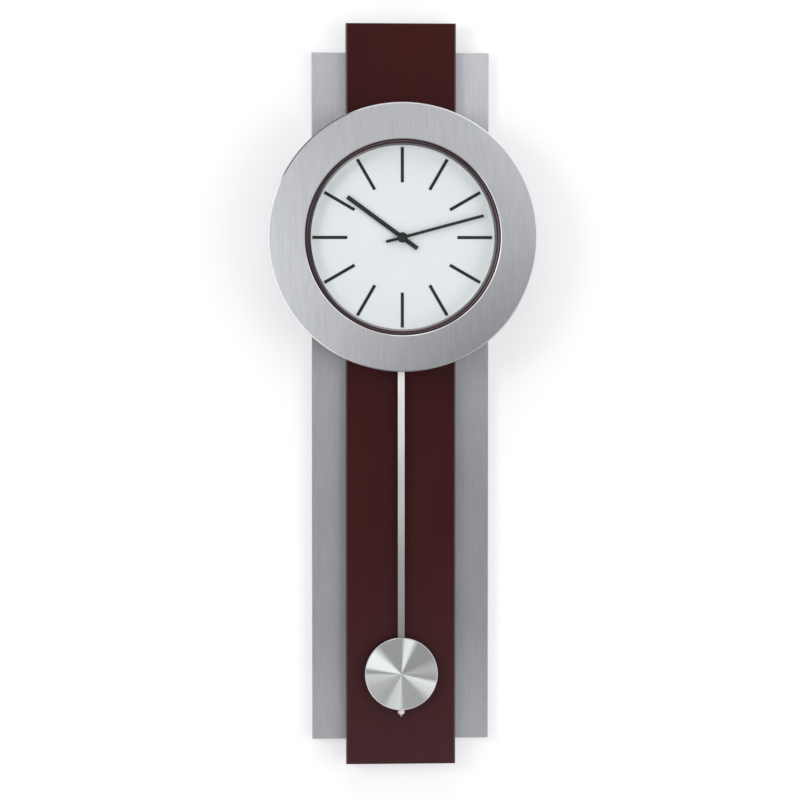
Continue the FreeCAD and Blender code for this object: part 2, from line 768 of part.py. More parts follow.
def minute_wheel():
    front, back = layer["minute_wheel"]
    module = module_for(motion_distance, minute_teeth, cannon_teeth)
    rim = wheel(minute_teeth, module, cannon_teeth, west, minute_x, axis_z, front, back)
    small = module_for(motion_distance, hour_teeth, minute_pinion_teeth)
    leaves = pinion(minute_pinion_teeth, small, west, minute_x, axis_z,
                    layer["hour_wheel"][0] - pinion_overhang, front)
    arbor = disc(minute_arbor_radius, front, case_back + knob_gap + knob_height * 0.6,
                 minute_x, axis_z)
    pivot = disc(0.5, inner_front - 0.4, front, minute_x, axis_z)
    return fuse(rim, leaves, arbor, pivot)


def setting_knob():
    front = case_back + knob_gap
    points = []
    for k in range(2 * knob_ribs):
        radius = knob_radius if k % 2 else knob_radius - 0.35
        angle = math.pi * k / knob_ribs
        points.append((minute_x + radius * math.cos(angle), axis_z + radius * math.sin(angle)))
    knob = extrude(points, front, front + knob_height)
    bore = disc(minute_arbor_radius, front - 1, front + knob_height * 0.6, minute_x, axis_z)
    return knob.cut(bore)


def centre_wheel():
    front, back = layer["centre_wheel"]
    module = module_for(train_distance, centre_teeth, third_pinion_teeth)
    rim = wheel(centre_teeth, module, third_pinion_teeth, north, 0, axis_z, front, back)
    arbor = disc(centre_arbor_radius, case_front - 1.5, back, 0, axis_z)
    bore = disc(fine_arbor_radius + tube_fit, inner_front + 1.0, back + 1, 0, axis_z)
    return fuse(rim, arbor).cut(bore)


def third_wheel():
    front, back = layer["third_wheel"]
    module = module_for(train_distance, third_teeth, seconds_pinion_teeth)
    rim = wheel(third_teeth, module, seconds_pinion_teeth, south, 0, third_z, front, back)
    small = module_for(train_distance, centre_teeth, third_pinion_teeth)
    leaves = pinion(third_pinion_teeth, small, south, 0, third_z, overhang("centre_wheel")[0], front)
    arbor = disc(fine_arbor_radius, layer["front_plate"][0] + 0.2, layer["rear_plate"][1] - 0.2,
                 0, third_z)
    return fuse(rim, leaves, arbor)


def seconds_wheel():
    front, back = layer["seconds_wheel"]
    rim = wheel(seconds_teeth, fine_module, intermediate_pinion_teeth, south, 0, axis_z, front, back)
    small = module_for(train_distance, third_teeth, seconds_pinion_teeth)
    leaves = pinion(seconds_pinion_teeth, small, north, 0, axis_z, *overhang("third_wheel"))
    arbor = disc(fine_arbor_radius, inner_front + 1.5, inner_back + 0.4, 0, axis_z)
    return fuse(rim, leaves, arbor)


def intermediate_wheel():
    front, back = layer["intermediate_wheel"]
    rim = wheel(intermediate_teeth, fine_module, rotor_pinion_teeth, south, 0, intermediate_z,
                front, back)
    leaves = pinion(intermediate_pinion_teeth, fine_module, north, 0, intermediate_z,
                    overhang("seconds_wheel")[0], front)
    arbor = disc(fine_arbor_radius, layer["rear_plate"][0] + 0.2, inner_back + 0.4,
                 0, intermediate_z)
    return fuse(rim, leaves, arbor)


def rotor():
    front, back = layer["rotor_magnet"]
    magnet = disc(rotor_magnet_radius, front, back, 0, rotor_z)
    leaves = pinion(rotor_pinion_teeth, fine_module, north, 0, rotor_z,
                    overhang("intermediate_wheel")[0], front)
    arbor = disc(fine_arbor_radius, layer["rear_plate"][0] + 0.2, inner_back + 0.4, 0, rotor_z)
    return fuse(magnet, leaves, arbor)


def stator():
    """A flat lamination round the rotor, with two legs that reach down to the coil's core."""
    bar = slab(-stator_half, stator_half, stator_front, stator_back, rotor_z - 4.6, rotor_z + 4.5)
    legs = [slab(*sorted((side * stator_half, side * (stator_half - 4.0))), stator_front,
                 stator_back, coil_bar_z - 2.0, rotor_z) for side in (-1, 1)]
    gap = disc(rotor_magnet_radius + 0.5, stator_front - 1, stator_back + 1, 0, rotor_z)
    return fuse(bar, *legs).cut(gap)


def motor_core():
    return slab(-stator_half, stator_half, stator_back, stator_back + stator_thickness,
                coil_bar_z - 2.0, coil_bar_z + 2.0)


def motor_coil():
    block = rounded_slab(-stator_half + 4.4, stator_half - 4.4, stator_back - 1.2, stator_back + 1.8,
                         coil_bar_z - 3.2, coil_bar_z + 3.2, 0.8)
    return block.cut(motor_core())


def circuit_board():
    sheet = slab(board_left, board_right, board_face, board_rear,
                 axis_z - board_lower, axis_z - board_upper)
    chip = disc(3.5, board_face - 1.0, board_face, (board_left + board_right) / 2,
                axis_z - board_upper - 10.0)
    return fuse(sheet, chip)


def quartz_crystal():
    start = Vector(board_left + 6.0, board_face - 1.0, axis_z - board_lower + 6.0)
    return Part.makeCylinder(1.0, 6.0, start, Vector(1, 0, 0))


def pendulum_coil():
    winding = ring(coil_radius, coil_core_radius + 0.2, coil_front, inner_back - 0.1, 0, coil_z)
    groove = ring(coil_radius + 1, coil_radius - 1.0, coil_front + 0.5, inner_back - 0.6, 0, coil_z)
    return winding.cut(groove)


def battery_cell():
    y = (inner_front + case_back) / 2 + 0.1
    base = Vector(-cell_offset, y, axis_z - cell_bottom)
    can = Part.makeCylinder(cell_radius, cell_length, base)
    ends = [e for e in can.Edges if e.Length > 2 * cell_radius * 3 and len(e.Vertexes) == 1]
    can = can.makeFillet(0.5, ends)
    nub = Part.makeCylinder(cell_nub_radius, cell_nub_length, base + Vector(0, 0, cell_length))
    return fuse(can, nub)


def contact(bottom, top):
    """A spring-brass leaf across the trough, with a foot against the trough's end wall."""
    half = cell_radius - 0.6
    y_front, y_back = inner_front + 0.6, case_back - 0.6
    return slab(-cell_offset - half, -cell_offset + half, y_front, y_back, bottom, top)


def positive_contact():
    leaf_bottom = axis_z - cell_bottom + cell_length + cell_nub_length + 0.1
    leaf = contact(leaf_bottom, leaf_bottom + contact_thickness)
    foot = slab(-cell_offset - 3.0, -cell_offset + 3.0, inner_front + 0.6, inner_front + 1.0,
                leaf_bottom, trough_sides()[3])
    return fuse(leaf, foot)


def negative_contact():
    """A bent leaf: a base on the trough's end wall and a tongue that presses the cell."""
    base, top = trough_sides()[2], axis_z - cell_bottom - 0.1
    left, right = -cell_offset - cell_radius + 0.6, -cell_offset + cell_radius - 0.6
    t = contact_thickness
    outline = [(left, base), (right, base), (right, base + t), (left + 3 * t, base + t),
               (-cell_offset - 1.5, top - t), (-cell_offset + 2.5, top - t),
               (right - 2 * t, top - 4 * t), (right - t, top - 3.5 * t),
               (-cell_offset + 2.7, top), (-cell_offset - 1.7, top), (left, base + 1.5 * t)]
    return extrude(outline, inner_front + 3.0, case_back - 3.0)


# ---- pendulum -----------------------------------------------------------------------------
def pivot_pin():
    head_front = leader_hub_back + 0.3
    pin = disc(pivot_radius, inner_back, head_front, 0, pivot_z)
    return fuse(pin, disc(pivot_radius + 1.1, head_front, head_front + 0.8, 0, pivot_z))


def pendulum_leader():
    """The moulded arm that hangs on the pivot pin and carries the magnet and the rod."""
    arm = slab(-leader_width / 2, leader_width / 2, leader_front, leader_back,
               hook_z - 3.0, pivot_z)
    hub = disc(leader_width / 2, leader_hub_front, leader_hub_back, 0, pivot_z)
    hook = fuse(disc(stud_radius, leader_front, hook_head_front, 0, hook_z),
                disc(stud_radius + 1.0, hook_head_front, hook_head_front + 0.6, 0, hook_z))
    seat = disc(leader_width / 2 + 1.5, leader_front, leader_back, 0, coil_z)
    bore = disc(pivot_radius + tube_fit, leader_hub_front - 1, leader_hub_back + 1, 0, pivot_z)
    return fuse(arm, hub, hook, seat).cut(bore)


def pendulum_magnet():
    return disc(magnet_radius, leader_front - 1.0, leader_front, 0, coil_z)


def pendulum_rod():
    """A flat strip with a keyhole for the hook at its top."""
    half = rod_width / 2
    strip = slab(-half, half, rod_front, rod_back, bob_z, hook_z + 5.0)
    fit = stud_radius + 0.1
    wide = stud_radius + 1.2
    keyhole = fuse(disc(fit, rod_front - 1, rod_back + 1, 0, hook_z),
                   slab(-fit, fit, rod_front - 1, rod_back + 1, hook_z - 7.0, hook_z),
                   disc(wide, rod_front - 1, rod_back + 1, 0, hook_z - 8.0))
    socket = Part.makeCylinder(stud_radius, 8.0, Vector(0, rod_middle, bob_z))
    return strip.cut([keyhole, socket])


def rod_stud():
    """The threaded end of the rod, with a pointed tip."""
    point = 1.2
    body = Part.makeCylinder(stud_radius, bob_z + 8.0 - stud_end - point,
                             Vector(0, rod_middle, stud_end + point))
    tip = Part.makeCone(0.3, stud_radius, point, Vector(0, rod_middle, stud_end))
    return fuse(body, tip)


def bob_face():
    """A turned disc whose front is a shallow dome inside a flat, bevelled rim."""
    rim = 0.8
    rim_front = bob_front + bob_dome
    dome_edge = bob_radius - 1.6
    plate = turned([(0.0, bob_joint), (bob_radius, bob_joint), (bob_radius, rim_front + rim),
                    (bob_radius - rim, rim_front), (0.0, rim_front)], 0, bob_z)
    curve = (dome_edge ** 2 + bob_dome ** 2) / (2 * bob_dome)
    ball = Part.makeSphere(curve, Vector(0, bob_front + curve, bob_z))
    return fuse(plate, disc(dome_edge, bob_front - 1, rim_front + 0.5, 0, bob_z).common(ball))


def bob_backing():
    edge = 0.8
    radius = bob_radius - 1.5
    body = turned([(0.0, bob_joint), (radius, bob_joint), (radius, bob_back - edge),
                   (radius - edge, bob_back), (0.0, bob_back)], 0, bob_z)
    half = rod_width / 2 + rod_clearance
    channel = slab(-half, half, bob_joint - 1, rod_back + rod_clearance,
                   bob_z - nut_travel - 2.0, bob_z + bob_radius)
    bore = Part.makeCylinder(stud_radius + tube_fit, 2 * bob_radius,
                             Vector(0, rod_middle, bob_z - bob_radius - 1))
    return body.cut([channel, bore])


def rating_nut():
    points = []
    for k in range(2 * nut_ribs):
        radius = nut_radius if k % 2 else nut_radius - 0.2
        angle = math.pi * k / nut_ribs
        points.append(Vector(radius * math.cos(angle), rod_middle + radius * math.sin(angle), nut_top))
    blank = Part.Face(Part.makePolygon(points + points[:1])).extrude(Vector(0, 0, -nut_height))
    taper = Part.makeCone(nut_radius - 1.1, nut_radius + nut_height - 1.1, nut_height,
                          Vector(0, rod_middle, nut_top - nut_height))
    bore = Part.makeCylinder(stud_radius + tube_fit, nut_height + 2,
                             Vector(0, rod_middle, nut_top - nut_height - 1))
    return blank.common(taper).cut(bore)


# ---- the nodes ----------------------------------------------------------------------------
def nodes():
    """Each node's name and its solid, or its list of separate solids."""
    return {
        "centre_panel": centre_panel(),
        "left_side_board": side_board(-1),
        "right_side_board": side_board(1),
        "left_side_skin": side_skin(-1),
        "right_side_skin": side_skin(1),
        "upper_batten": upper_batten(),
        "lower_batten": batten(side_bottom),
        "panel_screws": panel_fixings(countersunk_screw),
        "keyhole_hanger": keyhole_hanger(),
        "hanger_screws": hanger_fixings(countersunk_screw),
        "wall_bumpers": wall_bumpers(),
        "drum": drum(),
        "drum_screws": drum_screws(),
        "bezel_ring": bezel_ring(),
        "bezel_screws": bezel_screws(),
        "inner_trim_ring": inner_trim_ring(),
        "dial_glass": disc(stack_radius, glass_front, glass_back, 0, axis_z),
        "spacer_ring": ring(stack_radius, trim_inner_radius, glass_back, dial_front, 0, axis_z),
        "dial_plate": ring(stack_radius, bush_radius + 0.1, dial_front, dial_back, 0, axis_z),
        "hour_markers": hour_markers(),
        "dial_clips": dial_clips(),
        "clip_screws": clip_screws(),
        "rubber_washer": ring(washer_radius, bush_radius + 0.1, dial_back, case_front, 0, axis_z),
        "bush_nut": bush_nut(),
        "threaded_bush": threaded_bush(),
        "movement_front_case": movement_front_case(),
        "movement_rear_case": movement_rear_case(),
        "front_gear_plate": front_plate(),
        "rear_gear_plate": rear_plate(),
        "motor_stator": stator(),
        "motor_core": motor_core(),
        "motor_coil": motor_coil(),
        "circuit_board": circuit_board(),
        "quartz_crystal": quartz_crystal(),
        "pendulum_coil": pendulum_coil(),
        "positive_contact": positive_contact(),
        "negative_contact": negative_contact(),
        "pivot_pin": pivot_pin(),
        "battery_cell": battery_cell(),
        "rotor": rotor(),
        "intermediate_wheel": intermediate_wheel(),
        "seconds_wheel": seconds_wheel(),
        "third_wheel": third_wheel(),
        "centre_wheel": centre_wheel(),
        "cannon_pinion": cannon_pinion(),
        "minute_hand": hand(minute_hand_length, minute_hand_tail, minute_hand_width,
                            minute_hand_front, cannon_tube_radius, minute_angle),
        "hand_nut": hand_nut(),
        "hour_wheel": hour_wheel(),
        "hour_hand": hand(hour_hand_length, hour_hand_tail, hour_hand_width,
                          hour_hand_front, hour_tube_radius, hour_angle),
        "minute_wheel": minute_wheel(),
        "setting_knob": setting_knob(),
        "pendulum_leader": pendulum_leader(),
        "pendulum_magnet": pendulum_magnet(),
        "pendulum_rod": pendulum_rod(),
        "rod_stud": rod_stud(),
        "bob_face": bob_face(),
        "bob_backing": bob_backing(),
        "rating_nut": rating_nut(),
    }


def check_solids(name, shape, expected):
    """Stop on a shape that isn't the sound solids that it should be."""
    if len(shape.Solids) != expected or not shape.isValid() or shape.Volume <= 0:
        raise ValueError(f"{name}: {len(shape.Solids)} solids, valid {shape.isValid()}")


os.makedirs("parts", exist_ok=True)
for name, made in nodes().items():
    group = isinstance(made, list)
    shape = Part.makeCompound(made) if group else made
    check_solids(name, shape, len(made) if group else 1)
    if not group:
        shape = shape.Solids[0]
    shape.exportStep(f"parts/{name}.step")
    print(f"{name}: {len(shape.Solids)} solid(s), {shape.Volume / 1000:.2f} cm3")
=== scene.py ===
"""A wall clock with a swinging pendulum: finishes, fine pieces and studio round its frame."""
import json
import logging
import math
from contextlib import contextmanager
from dataclasses import dataclass, field
from enum import Enum
from typing import Iterator, Optional, Sequence

import bmesh
import bpy
from mathutils import Matrix, Vector

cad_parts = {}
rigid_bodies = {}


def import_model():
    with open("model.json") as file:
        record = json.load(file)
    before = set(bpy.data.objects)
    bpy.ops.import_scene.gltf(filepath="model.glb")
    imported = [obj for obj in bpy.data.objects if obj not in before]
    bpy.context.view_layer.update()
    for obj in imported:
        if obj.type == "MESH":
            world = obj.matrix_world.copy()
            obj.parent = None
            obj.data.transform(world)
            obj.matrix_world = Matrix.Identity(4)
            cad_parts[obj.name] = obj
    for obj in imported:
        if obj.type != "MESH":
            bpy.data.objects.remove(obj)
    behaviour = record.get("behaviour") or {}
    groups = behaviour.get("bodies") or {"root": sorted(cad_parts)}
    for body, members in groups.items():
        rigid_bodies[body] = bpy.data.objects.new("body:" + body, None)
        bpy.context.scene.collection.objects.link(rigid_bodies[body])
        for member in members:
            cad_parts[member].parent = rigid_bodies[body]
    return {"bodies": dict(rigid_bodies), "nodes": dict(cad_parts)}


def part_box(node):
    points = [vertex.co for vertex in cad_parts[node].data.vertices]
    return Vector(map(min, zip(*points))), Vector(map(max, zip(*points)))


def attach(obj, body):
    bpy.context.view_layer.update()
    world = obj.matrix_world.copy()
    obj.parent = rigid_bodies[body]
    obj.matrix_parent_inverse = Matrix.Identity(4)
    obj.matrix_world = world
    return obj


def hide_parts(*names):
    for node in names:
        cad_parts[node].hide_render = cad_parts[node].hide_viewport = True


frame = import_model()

LOG = logging.getLogger("clock")
MM = 0.001
QUARTER = 0.29           # how far a quarter round's middle stands off its chord, over its radius
Colour = tuple[float, float, float]
Profile = Sequence[tuple[float, float]]
Outline = Sequence[tuple[float, float]]
Stops = tuple[tuple[float, float], ...]
Socket = bpy.types.NodeSocket


class Body(Enum):
    """The bodies that move apart from each other."""

    ROOT = "root"
    BATTERY = "battery"
    MINUTE = "minute_motion"
    HOUR = "hour_motion"
    SETTING = "setting"
    PENDULUM = "pendulum"
    BOB = "bob"
    NUT = "nut"


class Grain(Enum):
    """The way a metal's brush marks run."""

    UPRIGHT = "upright"
    NONE = "none"


@dataclass(frozen=True)
class Box:
    """A node's box at rest, in metres."""

    low: Vector
    high: Vector

    @classmethod
    def of(cls, node: str) -> "Box":
        """The box of a frame node.

        Args:
            node: the node's name.

        Returns:
            Its box.
        """
        low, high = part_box(node)
        return cls(Vector(low), Vector(high))

    @property
    def middle(self) -> Vector:
        """The middle of the box."""
        return (self.low + self.high) / 2

    @property
    def radius(self) -> float:
        """Half of the box's width, for a round piece that faces the front."""
        return (self.high.x - self.low.x) / 2


# ---- shader building ----------------------------------------------------------------------
class ShaderWork:
    """Builds one material's nodes."""

    def __init__(self, name: str) -> None:
        """Start a material.

        Args:
            name: the material's name.
        """
        self.material = bpy.data.materials.new(name)
        self.material.use_nodes = True
        self.nodes = self.material.node_tree.nodes
        self.links = self.material.node_tree.links
        self.nodes.clear()
        self.output = self.nodes.new("ShaderNodeOutputMaterial")
        self.surface = self.node("BsdfPrincipled")
        self.links.new(self.surface.outputs["BSDF"], self.output.inputs["Surface"])
        self.place = self.node("TexCoord").outputs["Object"]

    def give(self, entry: Socket, given: Socket | Colour | float) -> None:
        """Lead a socket to a node's input, or set the input's constant.

        Args:
            entry: the input.
            given: a socket, or the constant itself.
        """
        if isinstance(given, Socket):
            self.links.new(given, entry)
        else:
            entry.default_value = given

    def node(self, kind: str, **inputs: Socket | Colour | float) -> bpy.types.Node:
        """Add a node and fill its inputs.

        Args:
            kind: the shader node's kind.
            inputs: what each input gets, with underscores for the spaces in its name.

        Returns:
            The node.
        """
        node = self.nodes.new(f"ShaderNode{kind}")
        for name, given in inputs.items():
            self.give(node.inputs[name.replace("_", " ")], given)
        return node

    def settle(self, **values: Socket | Colour | float) -> None:
        """Fill the surface's own inputs, with underscores for the spaces in their names."""
        for name, value in values.items():
            self.give(self.surface.inputs[name.replace("_", " ")], value)

    def mapped(self, scale: Colour, shift: Colour = (0.0, 0.0, 0.0)) -> Socket:
        """Object coordinates, scaled.

        Args:
            scale: features per metre along each axis.
            shift: moves the pattern, in metres.

        Returns:
            The mapped vector's socket.
        """
        start = tuple(-s * k for s, k in zip(shift, scale))
        return self.node("Mapping", Vector=self.place, Location=start,
                         Scale=scale).outputs["Vector"]

    def split(self, vector: Optional[Socket] = None) -> tuple[Socket, Socket, Socket]:
        """The X, Y and Z sockets of a vector, or else of the object's coordinates."""
        return tuple(self.node("SeparateXYZ", Vector=vector or self.place).outputs)

    def noise(self, scale: Colour, detail: float = 4.0, rough: float = 0.55) -> Socket:
        """Noise whose features may be stretched.

        Args:
            scale: features per metre along each axis.
            detail: octaves.
            rough: how strong the fine octaves are.

        Returns:
            The noise's value socket.
        """
        return self.node("TexNoise", Vector=self.mapped(scale), Scale=1.0, Detail=detail,
                         Roughness=rough).outputs["Fac"]

    def spread(self, value: Socket, low: float, high: float, start: float = 0.3,
               end: float = 0.7) -> Socket:
        """Map a noise value to a range.

        Args:
            value: the socket to map.
            low: the result at start.
            high: the result at end.
            start: the value that gives low.
            end: the value that gives high.

        Returns:
            The result's socket.
        """
        return self.node("MapRange", Value=value, From_Min=start, From_Max=end, To_Min=low,
                         To_Max=high).outputs["Result"]

    def maths(self, operation: str, *numbers: Socket | float) -> Socket:
        """One arithmetic step.

        Args:
            operation: the operation's name.
            numbers: sockets or constants.

        Returns:
            The result's socket.
        """
        node = self.node("Math")
        node.operation = operation
        for entry, given in zip(node.inputs, numbers):
            self.give(entry, given)
        return node.outputs["Value"]

    def blend(self, amount: Socket, first: Socket | Colour, second: Socket | Colour) -> Socket:
        """Mix two colours.

        Args:
            amount: how much of the second, a socket.
            first: a colour or a socket.
            second: a colour or a socket.

        Returns:
            The mixed colour's socket.
        """
        node = self.node("Mix", Factor=amount)
        node.data_type = "RGBA"
        for entry, given in zip(node.inputs[6:8], (first, second)):
            self.give(entry, (*given, 1.0) if isinstance(given, tuple) else given)
        return node.outputs[2]

    def scaled(self, colour: Socket | Colour, amount: Socket) -> Socket:
        """A colour made lighter or darker.

        Args:
            colour: a colour or a socket.
            amount: the factor's socket.

        Returns:
            The result's socket.
        """
        node = self.node("VectorMath")
        node.operation = "SCALE"
        self.give(node.inputs[0], colour)
        self.give(node.inputs["Scale"], amount)
        return node.outputs["Vector"]

    def ramp(self, place: Socket, stops: Stops) -> Socket:
        """A tone that follows soft steps.

        Args:
            place: where on the ramp, from 0 to 1.
            stops: (place, tone) pairs.

        Returns:
            The tone's socket.
        """
        node = self.node("ValToRGB", Fac=place)
        node.color_ramp.interpolation = "EASE"
        while len(node.color_ramp.elements) < len(stops):
            node.color_ramp.elements.new(0.5)
        for element, (position, tone) in zip(node.color_ramp.elements, stops):
            element.position, element.color = position, (tone, tone, tone, 1.0)
        return self.node("SeparateColor", Color=node.outputs["Color"]).outputs["Red"]

    def paint(self, colour: Socket) -> None:
        """Lead a colour to the surface."""
        self.settle(Base_Color=colour)

    def roughen(self, value: Socket) -> None:
        """Lead a roughness to the surface."""
        self.settle(Roughness=value)

    def bump(self, height: Socket, strength: float, depth: float) -> None:
        """Lead a height to the surface's normal.

        Args:
            height: the height's socket.
            strength: how much of it shows.
            depth: the height of one unit, in metres.
        """
        node = self.node("Bump", Height=height, Strength=strength, Distance=depth)
        self.settle(Normal=node.outputs["Normal"])


# ---- finishes -----------------------------------------------------------------------------
@dataclass(frozen=True)
class PaintedShadingFade:
    """Painted light and shade along a plated strip: a slow change of tone with height, as (height in
    metres, factor) stops.
    """

    stops: Stops

    def factor(self, work: ShaderWork) -> Socket:
        """Build the factor in a material.

        Args:
            work: the material's builder.

        Returns:
            The factor's socket.
        """
        _, _, height = work.split()
        low, high = self.stops[0][0], self.stops[-1][0]
        return work.ramp(work.spread(height, 0.0, 1.0, low, high),
                         tuple(((z - low) / (high - low), value) for z, value in self.stops))


@dataclass(frozen=True)
class PaintedShadingLean:
    """Painted light and shade over a round face, as a slow change of tone.

    It is across the face, up it, from corner to corner, and at its sides against top and foot.
    """

    middle: tuple[float, float]
    reach: float
    across: float
    up: float
    corner: float
    sides: float

    def factor(self, work: ShaderWork) -> Socket:
        """Build the factor in a material.

        Args:
            work: the material's builder.

        Returns:
            The factor's socket.
        """
        shift = (self.middle[0], 0.0, self.middle[1])
        x, _, z = work.split(work.mapped((1.0 / self.reach,) * 3, shift))
        total = work.maths("ADD", work.maths("MULTIPLY", x, self.across), 1.0)
        for term, weight in ((z, self.up), (work.maths("MULTIPLY", x, z), self.corner),
                             (work.maths("MULTIPLY", x, x), self.sides),
                             (work.maths("MULTIPLY", z, z), -self.sides)):
            total = work.maths("ADD", total, work.maths("MULTIPLY", term, weight))
        return total


@dataclass(frozen=True)
class BrushedMetal:
    """Plated metal with brush marks."""

    name: str
    colour: Colour
    roughness: float = 0.36
    contrast: float = 0.07
    grain: Grain = Grain.UPRIGHT
    stretch: float = 0.55
    metallic: float = 1.0
    # Painted light and shade over the face, if any.
    change: Optional[PaintedShadingFade | PaintedShadingLean] = None

    def material(self) -> bpy.types.Material:
        """Build the material: fine scratches over broad, soft streaks, times the painted light and
        shade where the finish has one.

        Returns:
            The material.
        """
        work = ShaderWork(self.name)
        work.settle(Metallic=self.metallic,
                    Anisotropic=self.stretch if self.grain != Grain.NONE else 0.0)
        if self.grain == Grain.UPRIGHT:
            fine, broad = (2600.0, 2600.0, 64.0), (430.0, 430.0, 34.0)
        else:
            fine, broad = (1500.0, 1500.0, 1500.0), (90.0, 90.0, 90.0)
        scratches = work.noise(fine, 5.0, 0.6)
        streaks = work.noise(broad, 3.0, 0.5)
        drift = work.noise((11.0, 11.0, 7.0), 1.5, 0.5)
        tone = work.maths("ADD", work.spread(scratches, -self.contrast, self.contrast),
                          work.spread(streaks, -self.contrast * 0.9, self.contrast * 0.9))
        tone = work.maths("ADD", tone, work.spread(drift, 0.97, 1.03))
        # Painted light and shade: the tone is multiplied by the finish's painted factor.
        if self.change is not None:
            tone = work.maths("MULTIPLY", tone, self.change.factor(work))
        work.paint(work.scaled(self.colour, tone))
        work.roughen(work.spread(scratches, self.roughness - 0.05, self.roughness + 0.06))
        work.bump(scratches, 0.12, 0.00004)
        return work.material


@dataclass(frozen=True)
class SpunMetalWithPaintedHighlights:
    """Metal turned on a lathe, with fine rings, and with highlight wedges round the middle painted
    into its colour.
    """

    name: str
    colour: Colour
    middle: Vector
    roughness: float = 0.3
    metallic: float = 0.35

    # Painted highlights: how bright the spun face is painted at each bearing, clockwise from the top
    # in degrees.
    painted_highlights: Stops = (
        (0.0, 0.36), (8.0, 0.92), (17.0, 0.95), (31.0, 0.34), (58.0, 0.31), (82.0, 0.47),
        (93.0, 0.40), (98.0, 0.34), (108.0, 0.90), (121.0, 0.78), (142.0, 0.41), (174.0, 0.42),
        (184.0, 0.78), (199.0, 0.72), (214.0, 0.44), (240.0, 0.50), (267.0, 0.68),
        (275.0, 0.34), (284.0, 1.0), (304.0, 1.0), (326.0, 0.36), (360.0, 0.36))

    def material(self) -> bpy.types.Material:
        """Build the material: rings, painted highlight wedges and a radial highlight along the
        piece's own UV.

        Returns:
            The material.
        """
        work = ShaderWork(self.name)
        work.settle(Metallic=self.metallic, Anisotropic=0.72)
        tangent = work.node("Tangent")
        tangent.direction_type, tangent.uv_map = "UV_MAP", "turned"
        work.settle(Tangent=tangent.outputs["Tangent"])
        shift = (self.middle.x, 0.0, self.middle.z)
        across, _, up = work.split(work.mapped((1.0, 1.0, 1.0), shift))
        bearing = work.maths("ARCTAN2", across, up)
        turn = work.maths("FRACT", work.maths("DIVIDE", bearing, 2 * math.pi))
        # Painted highlights: a tone painted for each bearing round the middle.
        light = work.ramp(turn, tuple((degrees / 360.0, tone) for degrees, tone in self.painted_highlights))
        reach = work.maths("SQRT", work.maths("ADD", work.maths("MULTIPLY", across, across),
                                              work.maths("MULTIPLY", up, up)))
        noise = work.node("TexNoise", Scale=3200.0, Detail=3.0)
        noise.noise_dimensions = "1D"
        work.give(noise.inputs["W"], reach)
        rings = noise.outputs["Fac"]
        tone = work.maths("MULTIPLY", light, work.spread(rings, 0.992, 1.008))
        work.paint(work.scaled(self.colour, tone))
        work.roughen(work.spread(rings, self.roughness - 0.03, self.roughness + 0.04))
        work.bump(rings, 0.05, 0.00002)
        return work.material


@dataclass(frozen=True)
class LacqueredWood:
    """Stained wood under satin-gloss lacquer."""

    name: str
    dark: Colour
    warm: Colour
    # A painted sheen: the paler, greyer colour towards the foot, and the heights over which it comes
    # in.
    foot: Colour
    painted_sheen_heights: tuple[float, float]
    edge_start: float

    def material(self) -> bpy.types.Material:
        """Build the material: close upright grain, soft patches, a painted sheen towards the foot and
        a clear coat.

        Returns:
            The material.
        """
        work = ShaderWork(self.name)
        work.settle(Coat_Roughness=0.22, Specular_IOR_Level=0.10)
        grain = work.noise((420.0, 420.0, 7.0), 6.0, 0.62)
        patches = work.noise((16.0, 16.0, 5.0), 2.0, 0.5)
        pores = work.noise((1900.0, 1900.0, 60.0), 2.0, 0.5)
        stain_and_sheen = work.blend(work.spread(patches, 0.0, 1.0, 0.35, 0.65), self.dark, self.warm)
        across, _, height = work.split()
        # Painted sheen: the colour turns paler and greyer towards the foot.
        stain_and_sheen = work.blend(work.spread(height, 1.0, 0.0, *self.painted_sheen_heights), stain_and_sheen, self.foot)
        sideways = work.maths("ABSOLUTE", across)
        polish = work.spread(sideways, 0.08, 1.0, self.edge_start, self.edge_start + 0.3 * MM)
        work.settle(Coat_Weight=polish)
        tone = work.maths("ADD", work.spread(grain, 0.93, 1.07),
                          work.spread(pores, -0.04, 0.03, 0.35, 0.6))
        work.paint(work.scaled(stain_and_sheen, tone))
        work.roughen(work.spread(grain, 0.30, 0.40))
        work.bump(work.maths("ADD", grain, work.maths("MULTIPLY", pores, 0.5)), 0.10, 0.00006)
        return work.material


@dataclass(frozen=True)
class Moulded:
    """Plastic, rubber or paint: one colour with a fine texture and slight unevenness."""

    name: str
    colour: Colour
    roughness: float = 0.5
    texture: float = 900.0
    depth: float = 0.00004
    gloss_coat: float = 0.0
    unevenness: float = 0.05
    shine: float = 0.5

    def material(self) -> bpy.types.Material:
        """Build the material.

        Returns:
            The material.
        """
        work = ShaderWork(self.name)
        work.settle(Coat_Weight=self.gloss_coat, Coat_Roughness=0.12,
                    Specular_IOR_Level=self.shine)
        cells = work.noise((self.texture,) * 3, 3.0, 0.6)
        drift = work.noise((24.0,) * 3, 2.0, 0.5)
        work.paint(work.scaled(self.colour, work.spread(drift, 1 - self.unevenness,
                                                        1 + self.unevenness)))
        work.roughen(work.spread(cells, max(0.05, self.roughness - 0.06), self.roughness + 0.06))
        work.bump(cells, 0.2, self.depth)
        return work.material


@dataclass(frozen=True)
class Board:
    """Plain fibreboard: fine, pale specks in a warm brown."""

    name: str
    colour: Colour

    def material(self) -> bpy.types.Material:
        """Build the material.

        Returns:
            The material.
        """
        work = ShaderWork(self.name)
        specks = work.noise((700.0, 700.0, 240.0), 4.0, 0.7)
        drift = work.noise((12.0, 12.0, 4.0), 2.0, 0.5)
        tone = work.maths("MULTIPLY", work.spread(specks, 0.84, 1.14), work.spread(drift, 0.94, 1.06))
        work.paint(work.scaled(self.colour, tone))
        work.roughen(work.spread(specks, 0.68, 0.82))
        work.bump(specks, 0.3, 0.00008)
        return work.material


